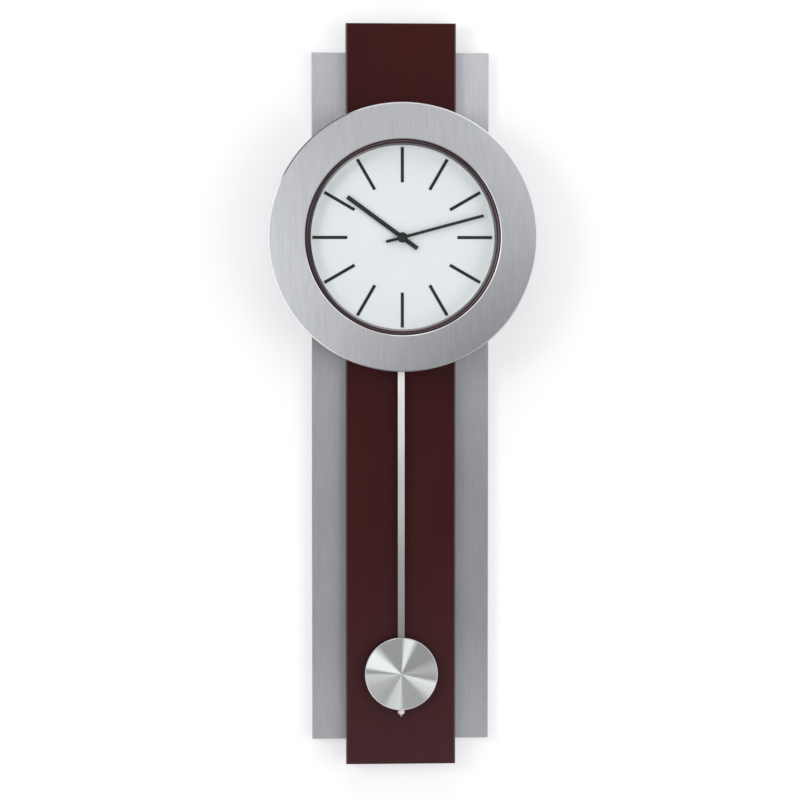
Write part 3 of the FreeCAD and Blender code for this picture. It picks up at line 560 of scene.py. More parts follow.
@dataclass(frozen=True)
class ClearGlass:
    """Flat window glass that lets light through to the dial."""

    name: str
    cover: float = 0.045

    def material(self) -> bpy.types.Material:
        """Build the material: nearly all clear, with a faint polish.

        Returns:
            The material.
        """
        work = ShaderWork(self.name)
        work.settle(Alpha=self.cover, Roughness=0.03, IOR=1.5, Transmission_Weight=1.0)
        haze = work.noise((9.0,) * 3, 2.0, 0.5)
        work.paint(work.scaled((0.93, 0.96, 0.95), work.spread(haze, 0.97, 1.0)))
        return work.material


@dataclass(frozen=True)
class CellWrap:
    """A battery's plain wrap: dark below, with a metallic band towards its positive end."""

    name: str
    dark: Colour
    band: Colour
    band_start: float

    def material(self) -> bpy.types.Material:
        """Build the material.

        Returns:
            The material.
        """
        work = ShaderWork(self.name)
        work.settle(Metallic=0.6, Coat_Weight=0.5, Coat_Roughness=0.1)
        _, _, height = work.split()
        above = work.spread(height, 0.0, 1.0, self.band_start - 0.2 * MM,
                            self.band_start + 0.2 * MM)
        work.paint(work.blend(above, self.dark, self.band))
        work.roughen(work.spread(work.noise((500.0,) * 3), 0.24, 0.34))
        return work.material


# ---- mesh building ------------------------------------------------------------------------
@contextmanager
def editing(mesh: bpy.types.Mesh) -> Iterator[bmesh.types.BMesh]:
    """Open a mesh for editing and write it back at the end.

    Args:
        mesh: the mesh.

    Returns:
        A context that gives the mesh in its editable form.
    """
    work = bmesh.new()
    work.from_mesh(mesh)
    yield work
    work.to_mesh(mesh)
    work.free()


def added(name: str, data: bpy.types.ID) -> bpy.types.Object:
    """Put a new object in the scene.

    Args:
        name: its name.
        data: its mesh, light or camera.

    Returns:
        The object.
    """
    thing = bpy.data.objects.new(name, data)
    bpy.context.scene.collection.objects.link(thing)
    return thing


def steps(start: float, end: float, count: int) -> list[float]:
    """Evenly spaced numbers, both ends included."""
    return [start + (end - start) * k / count for k in range(count + 1)]


def crease(mesh: bpy.types.Mesh, degrees: float = 28.0) -> None:
    """Shade a mesh smooth but for its edges sharper than an angle.

    Args:
        mesh: the mesh.
        degrees: the angle.
    """
    with editing(mesh) as work:
        for face in work.faces:
            face.smooth = True
        for edge in work.edges:
            edge.smooth = edge.calc_face_angle(0.0) < math.radians(degrees)


def shown(name: str, mesh: bpy.types.Mesh, material: bpy.types.Material) -> bpy.types.Object:
    """Make a piece of a mesh.

    Args:
        name: the piece's name.
        mesh: its mesh, already in place.
        material: its material.

    Returns:
        The piece.
    """
    mesh.name = name
    mesh.materials.clear()
    mesh.materials.append(material)
    mesh.polygons.foreach_set("material_index", [0] * len(mesh.polygons))
    crease(mesh)
    return added(name, mesh)


def lathe(profile: Profile, centre: Vector, segments: int = 256) -> bpy.types.Mesh:
    """Turn a closed profile about a line along Y.

    Args:
        profile: (radius, y) points in order round the section.
        centre: a point on the line.
        segments: how many steps make the round.

    Returns:
        A closed mesh with a UV map whose first axis follows the profile.
    """
    mesh = bpy.data.meshes.new("turned")
    angles = steps(0.0, 2 * math.pi, segments)[:-1]
    reach = [0.0]
    closed = [*profile, profile[0]]
    for start, end in zip(closed, closed[1:]):
        reach.append(reach[-1] + math.dist(start, end))
    with editing(mesh) as work:
        layer = work.loops.layers.uv.new("turned")
        rings = []
        for radius, y in profile:
            if radius < 1e-7:
                rings.append([work.verts.new((centre.x, y, centre.z))] * segments)
                continue
            rings.append([work.verts.new((centre.x + radius * math.sin(a), y,
                                          centre.z + radius * math.cos(a))) for a in angles])
        for i, ring in enumerate(rings):
            following = rings[(i + 1) % len(rings)]
            for k in range(segments):
                step = (k + 1) % segments
                corners = {ring[k]: (reach[i], k)}
                corners.setdefault(ring[step], (reach[i], k + 1))
                corners.setdefault(following[step], (reach[i + 1], k + 1))
                corners.setdefault(following[k], (reach[i + 1], k))
                if len(corners) < 3:
                    continue
                face = work.faces.new(list(corners))
                for loop, (along, turn) in zip(face.loops, corners.values()):
                    loop[layer].uv = (along * 10.0, turn / segments)
        bmesh.ops.recalc_face_normals(work, faces=work.faces)
    return mesh


def upright(profile: Profile, box: Box, segments: int) -> bpy.types.Mesh:
    """Turn a closed profile about an upright line through the middle of a box.

    Args:
        profile: (radius, height) points in order round the section.
        box: the node's box.
        segments: how many steps make the round.

    Returns:
        A closed mesh.
    """
    mesh = lathe(profile, Vector(), segments)
    place = Matrix.Translation((box.middle.x, box.middle.y, 0.0))
    mesh.transform(place @ Matrix.Rotation(math.pi / 2, 4, "X"))
    return mesh


def arc(start: tuple[float, float], end: tuple[float, float], rise: float,
        count: int = 10) -> list[tuple[float, float]]:
    """Points on a shallow arc between two points.

    Args:
        start: the first point.
        end: the last point.
        rise: how far its middle stands to the left of the straight line, in metres.
        count: how many pieces it has.

    Returns:
        The points, both ends included.
    """
    span = Vector(end) - Vector(start)
    along, side = span.normalized(), Vector((-span.y, span.x)).normalized()
    half = span.length / 2
    radius = (half ** 2 + rise ** 2) / (2 * abs(rise))
    reach = math.asin(min(1.0, half / radius))
    signed = math.copysign(radius, rise)
    middle = (Vector(start) + Vector(end)) / 2 + side * (rise - signed)
    return [tuple(middle + along * (radius * math.sin(turn)) + side * (signed * math.cos(turn)))
            for turn in steps(-reach, reach, count)]


def plate(loops: Sequence[Outline], front: float, back: float, edge: float = 0.0,
          rounds: int = 2) -> bpy.types.Mesh:
    """A flat plate with holes and softened edges.

    Args:
        loops: the outline and then the holes, as (x, z) points.
        front: y of its front face.
        back: y of its back face.
        edge: how far its edges are rounded.
        rounds: steps of the rounding.

    Returns:
        A closed mesh.
    """
    curve = bpy.data.curves.new("plate", "CURVE")
    curve.dimensions = "2D"
    curve.fill_mode = "BOTH"
    curve.extrude = (back - front) / 2 - edge
    curve.bevel_depth, curve.bevel_resolution, curve.offset = edge, rounds, -edge
    for loop in loops:
        spline = curve.splines.new("POLY")
        spline.points.add(len(loop) - 1)
        for point, (x, z) in zip(spline.points, loop):
            point.co = (x, z, 0.0, 1.0)
        spline.use_cyclic_u = True
    holder = bpy.data.objects.new("plate", curve)
    mesh = bpy.data.meshes.new_from_object(holder)
    bpy.data.objects.remove(holder)
    bpy.data.curves.remove(curve)
    place = Matrix.Translation((0, (front + back) / 2, 0)) @ Matrix.Rotation(math.pi / 2, 4, "X")
    with editing(mesh) as work:
        bmesh.ops.remove_doubles(work, verts=work.verts, dist=1e-7)
        bmesh.ops.transform(work, verts=work.verts, matrix=place)
        bmesh.ops.recalc_face_normals(work, faces=work.faces)
    return mesh


def band(mesh: bpy.types.Mesh, centre: Vector, material: bpy.types.Material,
         inner: float = 0.0, outer: float = math.inf, depth: float = math.inf) -> None:
    """Give some faces of a turned piece another material.

    Args:
        mesh: the turned mesh.
        centre: a point on its axis.
        material: what those faces get.
        inner: they lie outside this radius.
        outer: they lie inside this radius.
        depth: they lie in front of this y.
    """
    mesh.materials.append(material)
    slot = len(mesh.materials) - 1
    for face in mesh.polygons:
        reach = math.hypot(face.center.x - centre.x, face.center.z - centre.z)
        if inner < reach < outer and face.center.y < depth:
            face.material_index = slot


def cut(mesh: bpy.types.Mesh, cutters: Sequence[bpy.types.Mesh]) -> bpy.types.Mesh:
    """Cut shapes out of a mesh.

    Args:
        mesh: what is cut.
        cutters: closed meshes to take away.

    Returns:
        A new mesh.
    """
    body = added("cut_body", mesh)
    tools = [added("cut_tool", cutter) for cutter in cutters]
    for tool in tools:
        change = body.modifiers.new("cut", "BOOLEAN")
        change.operation, change.solver, change.object = "DIFFERENCE", "EXACT", tool
    graph = bpy.context.evaluated_depsgraph_get()
    result = bpy.data.meshes.new_from_object(body.evaluated_get(graph))
    for extra in [body, *tools]:
        bpy.data.objects.remove(extra)
    return result


def place_piece(piece: bpy.types.Object, body: Body, slot: str, *nodes: str) -> None:
    """Attach a piece to the body it rides on, and hide the frame nodes that it stands for.

    Args:
        piece: the piece.
        body: the body that it moves with.
        slot: the record's material slot; not used.
        nodes: the frame nodes that it replaces.
    """
    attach(piece, body.value)
    if nodes:
        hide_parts(*nodes)
    LOG.info("%s rides on %s, %d faces", piece.name, body.value, len(piece.data.polygons))


def dress(material: bpy.types.Material, *nodes: str) -> None:
    """Give frame nodes a finish.

    Args:
        material: the finish.
        nodes: the nodes' names.
    """
    for name in nodes:
        slots = frame["nodes"][name].data.materials
        slots.clear()
        slots.append(material)
        LOG.info("%s dressed in %s", name, material.name)


# ---- repeated pieces ----------------------------------------------------------------------
class RepeatTree:
    """A geometry tree that repeats one small solid by equal moves and turns."""

    def __init__(self) -> None:
        """Build the tree once."""
        tree = bpy.data.node_groups.new("repeat_solid", "GeometryNodeTree")
        self.tree = tree
        for name, kind in (("Count", "Int"), ("Size", "Vector"), ("Offset", "Vector"),
                           ("Start", "Vector"), ("Move", "Vector"), ("Turn", "Vector"),
                           ("Round", "Bool"), ("Material", "Material")):
            tree.interface.new_socket(name, in_out="INPUT", socket_type=f"NodeSocket{kind}")
        tree.interface.new_socket("Geometry", in_out="OUTPUT", socket_type="NodeSocketGeometry")
        add = tree.nodes.new
        given, out = add("NodeGroupInput"), add("NodeGroupOutput")
        parts, turn = add("ShaderNodeSeparateXYZ"), add("ShaderNodeVectorMath")
        line, block, ridge, choose, shift, index, copies, real, finish = (
            add(f"GeometryNode{kind}") for kind in (
                "MeshLine", "MeshCube", "MeshCone", "Switch", "Transform", "InputIndex",
                "InstanceOnPoints", "RealizeInstances", "SetMaterial"))
        ridge.inputs["Vertices"].default_value = 40
        choose.input_type, turn.operation = "GEOMETRY", "SCALE"
        for source, leaves, target, enters in (
                (given, "Count", line, "Count"), (given, "Start", line, "Start Location"),
                (given, "Move", line, "Offset"), (given, "Size", block, "Size"),
                (given, "Size", parts, "Vector"), (parts, "X", ridge, "Radius Top"),
                (parts, "Y", ridge, "Radius Bottom"), (parts, "Z", ridge, "Depth"),
                (given, "Round", choose, "Switch"), (block, "Mesh", choose, "False"),
                (ridge, "Mesh", choose, "True"), (choose, "Output", shift, "Geometry"),
                (given, "Offset", shift, "Translation"), (given, "Turn", turn, "Vector"),
                (index, "Index", turn, "Scale"), (line, "Mesh", copies, "Points"),
                (shift, "Geometry", copies, "Instance"), (turn, "Vector", copies, "Rotation"),
                (copies, "Instances", real, "Geometry"), (real, "Geometry", finish, "Geometry"),
                (given, "Material", finish, "Material"), (finish, "Geometry", out, "Geometry")):
            tree.links.new(source.outputs[leaves], target.inputs[enters])

    def mesh(self, material: bpy.types.Material, count: int, size: Vector, offset: Vector,
             start: Vector, move: Vector = Vector(), turn: Vector = Vector(),
             rounded: bool = False) -> bpy.types.Mesh:
        """Run the tree.

        Args:
            material: the finish of the copies.
            count: how many copies.
            size: the block's size, or a round ridge's top radius, bottom radius and depth.
            offset: the block's place before it is turned.
            start: the first copy's place.
            move: each further copy's move.
            turn: each further copy's turn, in radians about X, Y and Z.
            rounded: use the round ridge.

        Returns:
            A plain mesh of all the copies.
        """
        holder = added("repeat", bpy.data.meshes.new("repeat"))
        change = holder.modifiers.new("repeat", "NODES")
        change.node_group = self.tree
        values = {"Count": count, "Size": size, "Offset": offset, "Start": start,
                  "Move": move, "Turn": turn, "Round": rounded, "Material": material}
        for item in self.tree.interface.items_tree:
            if item.item_type == "SOCKET" and item.in_out == "INPUT":
                value = values[item.name]
                change[item.identifier] = tuple(value) if isinstance(value, Vector) else value
        graph = bpy.context.evaluated_depsgraph_get()
        mesh = bpy.data.meshes.new_from_object(holder.evaluated_get(graph))
        bpy.data.objects.remove(holder)
        return mesh


def joined(first: bpy.types.Mesh, second: bpy.types.Mesh) -> bpy.types.Mesh:
    """Two meshes' shells in one mesh.

    Args:
        first: the mesh that is kept.
        second: the mesh whose shells are added.

    Returns:
        The first mesh.
    """
    with editing(first) as work:
        work.from_mesh(second)
    return first


# ---- sub-assemblies -----------------------------------------------------------------------
@dataclass
class Backboard:
    """The lacquered centre panel, the brushed side panels and what holds them."""

    bumper_radius: float = 6.0 * MM
    bumper_rim: float = 0.6 * MM
    wood: LacqueredWood = LacqueredWood("merlot_lacquer", (0.041, 0.0048, 0.0054),
                                        (0.045, 0.0060, 0.0048), (0.054, 0.0160, 0.0185),
                                        (-0.655, -0.42), 51.1 * MM)
    # The side panels are copies of one nickel with painted light and shade down their height:
    # lightest at the top, darkest below the middle; the right one with more contrast.
    left_nickel: BrushedMetal = BrushedMetal(
        "left_panel_nickel", (0.60, 0.605, 0.62), 0.40, 0.05, metallic=0.8,
        change=PaintedShadingFade(((-0.626, 0.76), (-0.50, 0.61), (-0.40, 0.59), (-0.25, 0.645), (-0.10, 0.775),
                     (0.035, 0.825))))
    right_nickel: BrushedMetal = BrushedMetal(
        "right_panel_nickel", (0.60, 0.605, 0.62), 0.40, 0.05, metallic=0.8,
        change=PaintedShadingFade(((-0.626, 0.69), (-0.50, 0.52), (-0.40, 0.49), (-0.25, 0.60), (-0.10, 0.82),
                     (0.035, 0.955))))
    core: Board = Board("fibreboard", (0.33, 0.23, 0.14))
    zinc: BrushedMetal = BrushedMetal("zinc_plate", (0.62, 0.62, 0.60), 0.34, 0.05, Grain.NONE)
    rubber: Moulded = Moulded("black_rubber", (0.018, 0.018, 0.019), 0.75, 1500.0)

    def build(self) -> None:
        """Dress the boards and make the bumpers."""
        dress(self.wood.material(), "centre_panel")
        dress(self.left_nickel.material(), "left_side_skin")
        dress(self.right_nickel.material(), "right_side_skin")
        dress(self.core.material(), "left_side_board", "right_side_board", "upper_batten",
              "lower_batten")
        zinc = self.zinc.material()
        dress(zinc, "keyhole_hanger", "panel_screws", "hanger_screws", "drum_screws",
              "bezel_screws", "clip_screws", "dial_clips")
        self.bumpers()

    def bumpers(self) -> None:
        """Four rubber bumpers with softened rims at the corners of the back."""
        box, radius, rim = Box.of("wall_bumpers"), self.bumper_radius, self.bumper_rim
        material = self.rubber.material()
        whole: Optional[bpy.types.Mesh] = None
        for x in (box.low.x + radius, box.high.x - radius):
            for z in (box.low.z + radius, box.high.z - radius):
                profile = [(0.0, box.low.y), (radius, box.low.y), (radius, box.high.y - rim),
                           *arc((radius, box.high.y - rim), (radius - rim, box.high.y),
                                -QUARTER * rim, 4)[1:], (0.0, box.high.y)]
                mesh = lathe(profile, Vector((x, 0.0, z)), 48)
                whole = mesh if whole is None else joined(whole, mesh)
        place_piece(shown("bumper_set", whole, material), Body.ROOT, "black_rubber",
                    "wall_bumpers")


@dataclass
class Head:
    """The drum, the bezel and what lies in it: trim, glass, spacer, dial and hour bars."""

    repeats: RepeatTree
    opening_radius: float = 92.2 * MM
    recess_radius: float = 95.2 * MM
    trim_inner: float = 86.5 * MM
    trim_gap: float = 0.2 * MM
    bezel_chamfer: float = 1.0 * MM
    lip: float = 1.2 * MM
    drum_wall: float = 1.6 * MM
    drum_radius: float = 112.0 * MM
    drum_bend: float = 2.4 * MM
    access_half: tuple[float, float] = (38.0 * MM, 54.0 * MM)
    access_corner: float = 9.0 * MM
    access_drop: float = 8.0 * MM
    slot_half: float = 18.1 * MM
    slot_room: float = 4.0 * MM
    bar_inner: float = 52.0 * MM
    bar_outer: float = 85.0 * MM
    bar_width: float = 2.9 * MM
    # The bezel's nickel carries painted light and shade across its face, darkest towards the lower
    # right.
    nickel: BrushedMetal = BrushedMetal(
        "bezel_nickel", (0.477, 0.481, 0.488), 0.38, 0.05, metallic=0.85,
        change=PaintedShadingLean((0.0, -0.1425), 0.110, -0.19, 0.12, 0.24, 0.08))
    trim: Moulded = Moulded("dark_trim", (0.027, 0.018, 0.0205), 0.34, 700.0, 0.00001, 0.12,
                            shine=0.3)
    paint: Moulded = Moulded("dial_paint", (0.80, 0.825, 0.82), 0.62, 1800.0, 0.00001, 0.0, 0.012,
                             0.2)
    spacer: Moulded = Moulded("spacer_plastic", (0.84, 0.86, 0.86), 0.55, 900.0, 0.00001)
    ink: Moulded = Moulded("bar_black", (0.017, 0.024, 0.022), 0.42, 900.0, 0.00001, shine=0.2)
    black: Moulded = Moulded("drum_black", (0.022, 0.022, 0.024), 0.42, 1100.0, 0.00003)
    glass: ClearGlass = ClearGlass("dial_window")

    # Painted highlights: how bright the bezel's rounded edge is painted at each bearing, clockwise
    # from the top in degrees.
    rim_painted_highlights: Stops = (
        (0.0, 0.95), (110.0, 0.90), (132.0, 0.42), (196.0, 0.40), (214.0, 0.80), (238.0, 1.0),
        (292.0, 1.0), (300.0, 0.12), (334.0, 0.12), (344.0, 0.95), (360.0, 0.95))

    # The same painted highlights for the edge of the bezel's opening, the trim's inner bevel and its
    # fine line.
    lip_painted_highlights: Stops = (
        (0.0, 0.34), (42.0, 0.42), (56.0, 1.0), (138.0, 1.0), (152.0, 0.62), (175.0, 0.85),
        (200.0, 0.70), (214.0, 1.0), (250.0, 1.0), (264.0, 0.50), (290.0, 0.34), (360.0, 0.34))
    bevel_painted_highlights: Stops = (
        (0.0, 0.36), (32.0, 0.40), (90.0, 0.42), (140.0, 0.46), (180.0, 0.85), (222.0, 0.95),
        (242.0, 0.40), (262.0, 0.07), (292.0, 0.10), (308.0, 0.70), (324.0, 1.0), (338.0, 0.55),
        (360.0, 0.36))
    line_painted_highlights: Stops = (
        (0.0, 0.55), (18.0, 0.40), (40.0, 0.30), (66.0, 0.85), (112.0, 1.0), (150.0, 0.70),
        (190.0, 0.55), (215.0, 0.30), (300.0, 0.22), (340.0, 0.50), (360.0, 0.55))

    def build(self) -> None:
        """Make or dress each piece, from the back to the front."""
        self.make_drum()
        self.make_bezel()
        self.make_trim()
        self.make_spacer()
        dress(self.paint.material(), "dial_plate")
        self.make_bars()
        dress(self.glass.material(), "dial_glass")

    def make_bezel(self) -> None:
        """The wide flat ring: a chamfer outside and a lip over the trim inside, both edges with
        painted highlights.
        """
        box = Box.of("bezel_ring")
        c, r, front, back = self.bezel_chamfer, box.radius, box.low.y, box.high.y
        soft = 0.3 * c
        profile = [(self.opening_radius + 0.8 * c, front), (r - 1.3 * c, front),
                   *arc((r - 1.3 * c, front), (r, front + 2.4 * c), -0.2 * c, 6)[1:],
                   (r, back - soft), (r - soft, back), (self.recess_radius, back),
                   (self.recess_radius, front + self.lip), (self.opening_radius, front + self.lip),
                   (self.opening_radius, front + 0.5 * c)]
        piece = shown("bezel", lathe(profile, box.middle, 360), self.nickel.material())
        centre = box.middle
        # Painted highlights: the rounded edge and the opening's edge get brighter metals whose tone
        # is painted at each bearing.
        rim = SpunMetalWithPaintedHighlights("bezel_rim", (0.97, 0.97, 0.98), centre, 0.24, 0.55, self.rim_painted_highlights)
        lip = SpunMetalWithPaintedHighlights("bezel_lip", (0.97, 0.95, 0.955), centre, 0.3, 0.3, self.lip_painted_highlights)
        band(piece.data, centre, rim.material(), inner=r - 1.25 * c, depth=front + 2.4 * c)
        band(piece.data, centre, lip.material(), outer=self.opening_radius + 0.75 * c,
             depth=front + 0.49 * c)
        place_piece(piece, Body.ROOT, "bezel_nickel", "bezel_ring")

    def make_trim(self) -> None:
        """The dark ring: a groove at its edge, a rounded band, a bead and an inner bevel; the bevel
        and a fine line on the band carry painted highlights.
        """
        box = Box.of("inner_trim_ring")
        front, back = box.low.y, box.high.y
        lip_back = Box.of("bezel_ring").low.y + self.lip
        inner, outer = self.trim_inner, self.opening_radius - self.trim_gap
        w = outer - inner
        low = lip_back + 0.1 * MM
        band_out, band_in = outer - 0.16 * w, inner + 0.40 * w
        bead_out, bead_in = inner + 0.34 * w, inner + 0.16 * w
        profile = [(inner, back), (box.radius, back), (box.radius, lip_back),
                   (outer, lip_back), (outer, lip_back - 0.6 * MM),
                   (outer - 0.1 * w, lip_back - 0.6 * MM),
                   *arc((band_out, low), (band_in, low), 0.98 * (low - front), 14),
                   *arc((bead_out, low), (bead_in, low), 0.5 * MM, 8),
                   (inner, lip_back + 0.8 * MM)]
        piece = shown("trim_ring", lathe(profile, box.middle, 300), self.trim.material())
        # Painted highlights and reflection: the inner bevel and a fine line get paler finishes whose
        # tone is painted at each bearing.
        bevel = SpunMetalWithPaintedHighlights("trim_bevel", (0.36, 0.325, 0.33), box.middle, 0.35, 0.3,
                          self.bevel_painted_highlights)
        line = SpunMetalWithPaintedHighlights("trim_line", (0.20, 0.105, 0.12), box.middle, 0.35, 0.3, self.line_painted_highlights)
        band(piece.data, box.middle, bevel.material(), outer=bead_out, depth=lip_back + 0.9 * MM)
        band(piece.data, box.middle, line.material(), inner + 0.62 * w, inner + 0.80 * w, lip_back)
        place_piece(piece, Body.ROOT, "dark_trim", "inner_trim_ring")

    def make_spacer(self) -> None:
        """The plain sleeve between the glass and the dial."""
        box = Box.of("spacer_ring")
        profile = [(self.trim_inner, box.low.y), (box.radius, box.low.y),
                   (box.radius, box.high.y), (self.trim_inner, box.high.y)]
        piece = shown("spacer", lathe(profile, box.middle, 240), self.spacer.material())
        place_piece(piece, Body.ROOT, "pale_plastic", "spacer_ring")

    def make_bars(self) -> None:
        """Twelve square-ended hour bars on the dial."""
        box = Box.of("hour_markers")
        size = Vector((self.bar_width, box.high.y - box.low.y, self.bar_outer - self.bar_inner))
        offset = Vector((0, 0, (self.bar_outer + self.bar_inner) / 2))
        ink = self.ink.material()
        mesh = self.repeats.mesh(ink, 12, size, offset, box.middle,
                                 turn=Vector((0, math.radians(30.0), 0)))
        piece = shown("hour_bars", mesh, ink)
        place_piece(piece, Body.ROOT, "dial_black", "hour_markers")

    def make_drum(self) -> None:
        """The pressed pan, with rounded corners, its flange, and its two openings."""
        box = Box.of("drum")
        front, back, w = box.low.y, box.high.y, self.drum_wall
        inner, bend = self.drum_radius - w, self.drum_bend
        profile = [(0.0, back), (self.drum_radius - bend, back),
                   *arc((self.drum_radius - bend, back), (self.drum_radius, back - bend),
                        QUARTER * bend, 6)[1:],
                   (self.drum_radius, front + w), (box.radius, front + w), (box.radius, front),
                   (inner, front), (inner, back - w), (0.0, back - w)]
        pan = lathe(profile, box.middle, 240)
        axis = box.middle
        (half_x, half_z), corner = self.access_half, self.access_corner
        middle_z = axis.z - self.access_drop
        access = [(sx * (half_x - corner) + corner * math.cos(a),
                   middle_z + sz * (half_z - corner) + corner * math.sin(a))
                  for sx, sz, start in ((1, 1, 0), (-1, 1, 1), (-1, -1, 2), (1, -1, 3))
                  for a in [math.pi / 2 * (start + k / 8) for k in range(9)]]
        side, room, rod = self.slot_half, self.slot_room, Box.of("pendulum_rod")
        low, high = axis.z - self.drum_radius - w, axis.z - 0.9 * self.drum_radius
        slot = [(-side, low), (side, low), (side, high), (-side, high)]
        cutters = [plate([access], back - 2 * w, back + w),
                   plate([slot], rod.low.y - room, rod.high.y + room)]
        piece = shown("drum_pan", cut(pan, cutters), self.black.material())
        place_piece(piece, Body.ROOT, "black_steel", "drum")


@dataclass
class HandSet:
    """The two black hands, their hubs and the round nut."""

    width_hour: float = 4.1 * MM
    width_minute: float = 2.8 * MM
    hub_radius: float = 4.5 * MM
    hour_reach: tuple[float, float] = (64.4 * MM, 17.6 * MM)       # to the tip and to the tail
    minute_reach: tuple[float, float] = (79.5 * MM, 16.1 * MM)
    nut_bore: float = 1.55 * MM
    nut_round: float = 0.45 * MM
    black: Moulded = Moulded("hand_black", (0.016, 0.021, 0.020), 0.38, 900.0, 0.00001, 0.1,
                             shine=0.2)
    shown_minute: float = 12.5
    shown_hour: int = 10

    def build(self) -> None:
        """Make both hands and the nut."""
        black = self.black.material()
        minute = math.radians(6.0 * self.shown_minute)
        hour = math.radians(30.0 * (self.shown_hour + self.shown_minute / 60.0))
        self.hand("hour", Body.HOUR, *self.hour_reach, self.width_hour, hour, black)
        self.hand("minute", Body.MINUTE, *self.minute_reach, self.width_minute, minute, black)
        self.nut(black)

    def hand(self, kind: str, body: Body, length: float, tail: float, width: float,
             bearing: float, black: bpy.types.Material) -> None:
        """One hand: a square-ended bar through a round hub, all in one outline.

        Args:
            kind: hour or minute.
            body: the body that it moves with.
            length: from the axis to the tip.
            tail: from the axis to the tail's end.
            width: the bar's width.
            bearing: clockwise from the top, in radians.
            black: the finish.
        """
        box = Box.of(f"{kind}_hand")
        axis = Box.of("dial_plate").middle
        hub, half = self.hub_radius, width / 2
        spread = math.pi / 2 - math.asin(half / hub)
        side = [(hub * math.cos(a), hub * math.sin(a)) for a in steps(-spread, spread, 16)]
        points = [(half, -tail), *side, (half, length), (-half, length),
                  *((-x, -z) for x, z in side), (-half, -tail)]
        cos, sin = math.cos(bearing), math.sin(bearing)
        outline = [(axis.x + x * cos + z * sin, axis.z - x * sin + z * cos) for x, z in points]
        mesh = plate([outline], box.low.y, box.high.y, 0.12 * MM, 1)
        place_piece(shown(f"{kind}_pointer", mesh, black), body, "hand_black", f"{kind}_hand")

    def nut(self, black: bpy.types.Material) -> None:
        """The round blind nut, with a shallow dimple, that covers the arbor's end.

        Args:
            black: the finish.
        """
        box = Box.of("hand_nut")
        bore, c, r, front, back = self.nut_bore, self.nut_round, box.radius, box.low.y, box.high.y
        profile = [(bore, back), (r, back), (r, front + c), *arc((r, front + c), (r - c, front),
                   -0.25 * c, 5)[1:], (bore + 0.9 * MM, front), (bore + 0.5 * MM, front + 0.15 * MM),
                   (0.0, front + 0.15 * MM), (0.0, front + 0.42 * MM), (bore, front + 0.42 * MM)]
        piece = shown("centre_nut", lathe(profile, box.middle, 96), black)
        place_piece(piece, Body.MINUTE, "hand_black", "hand_nut")


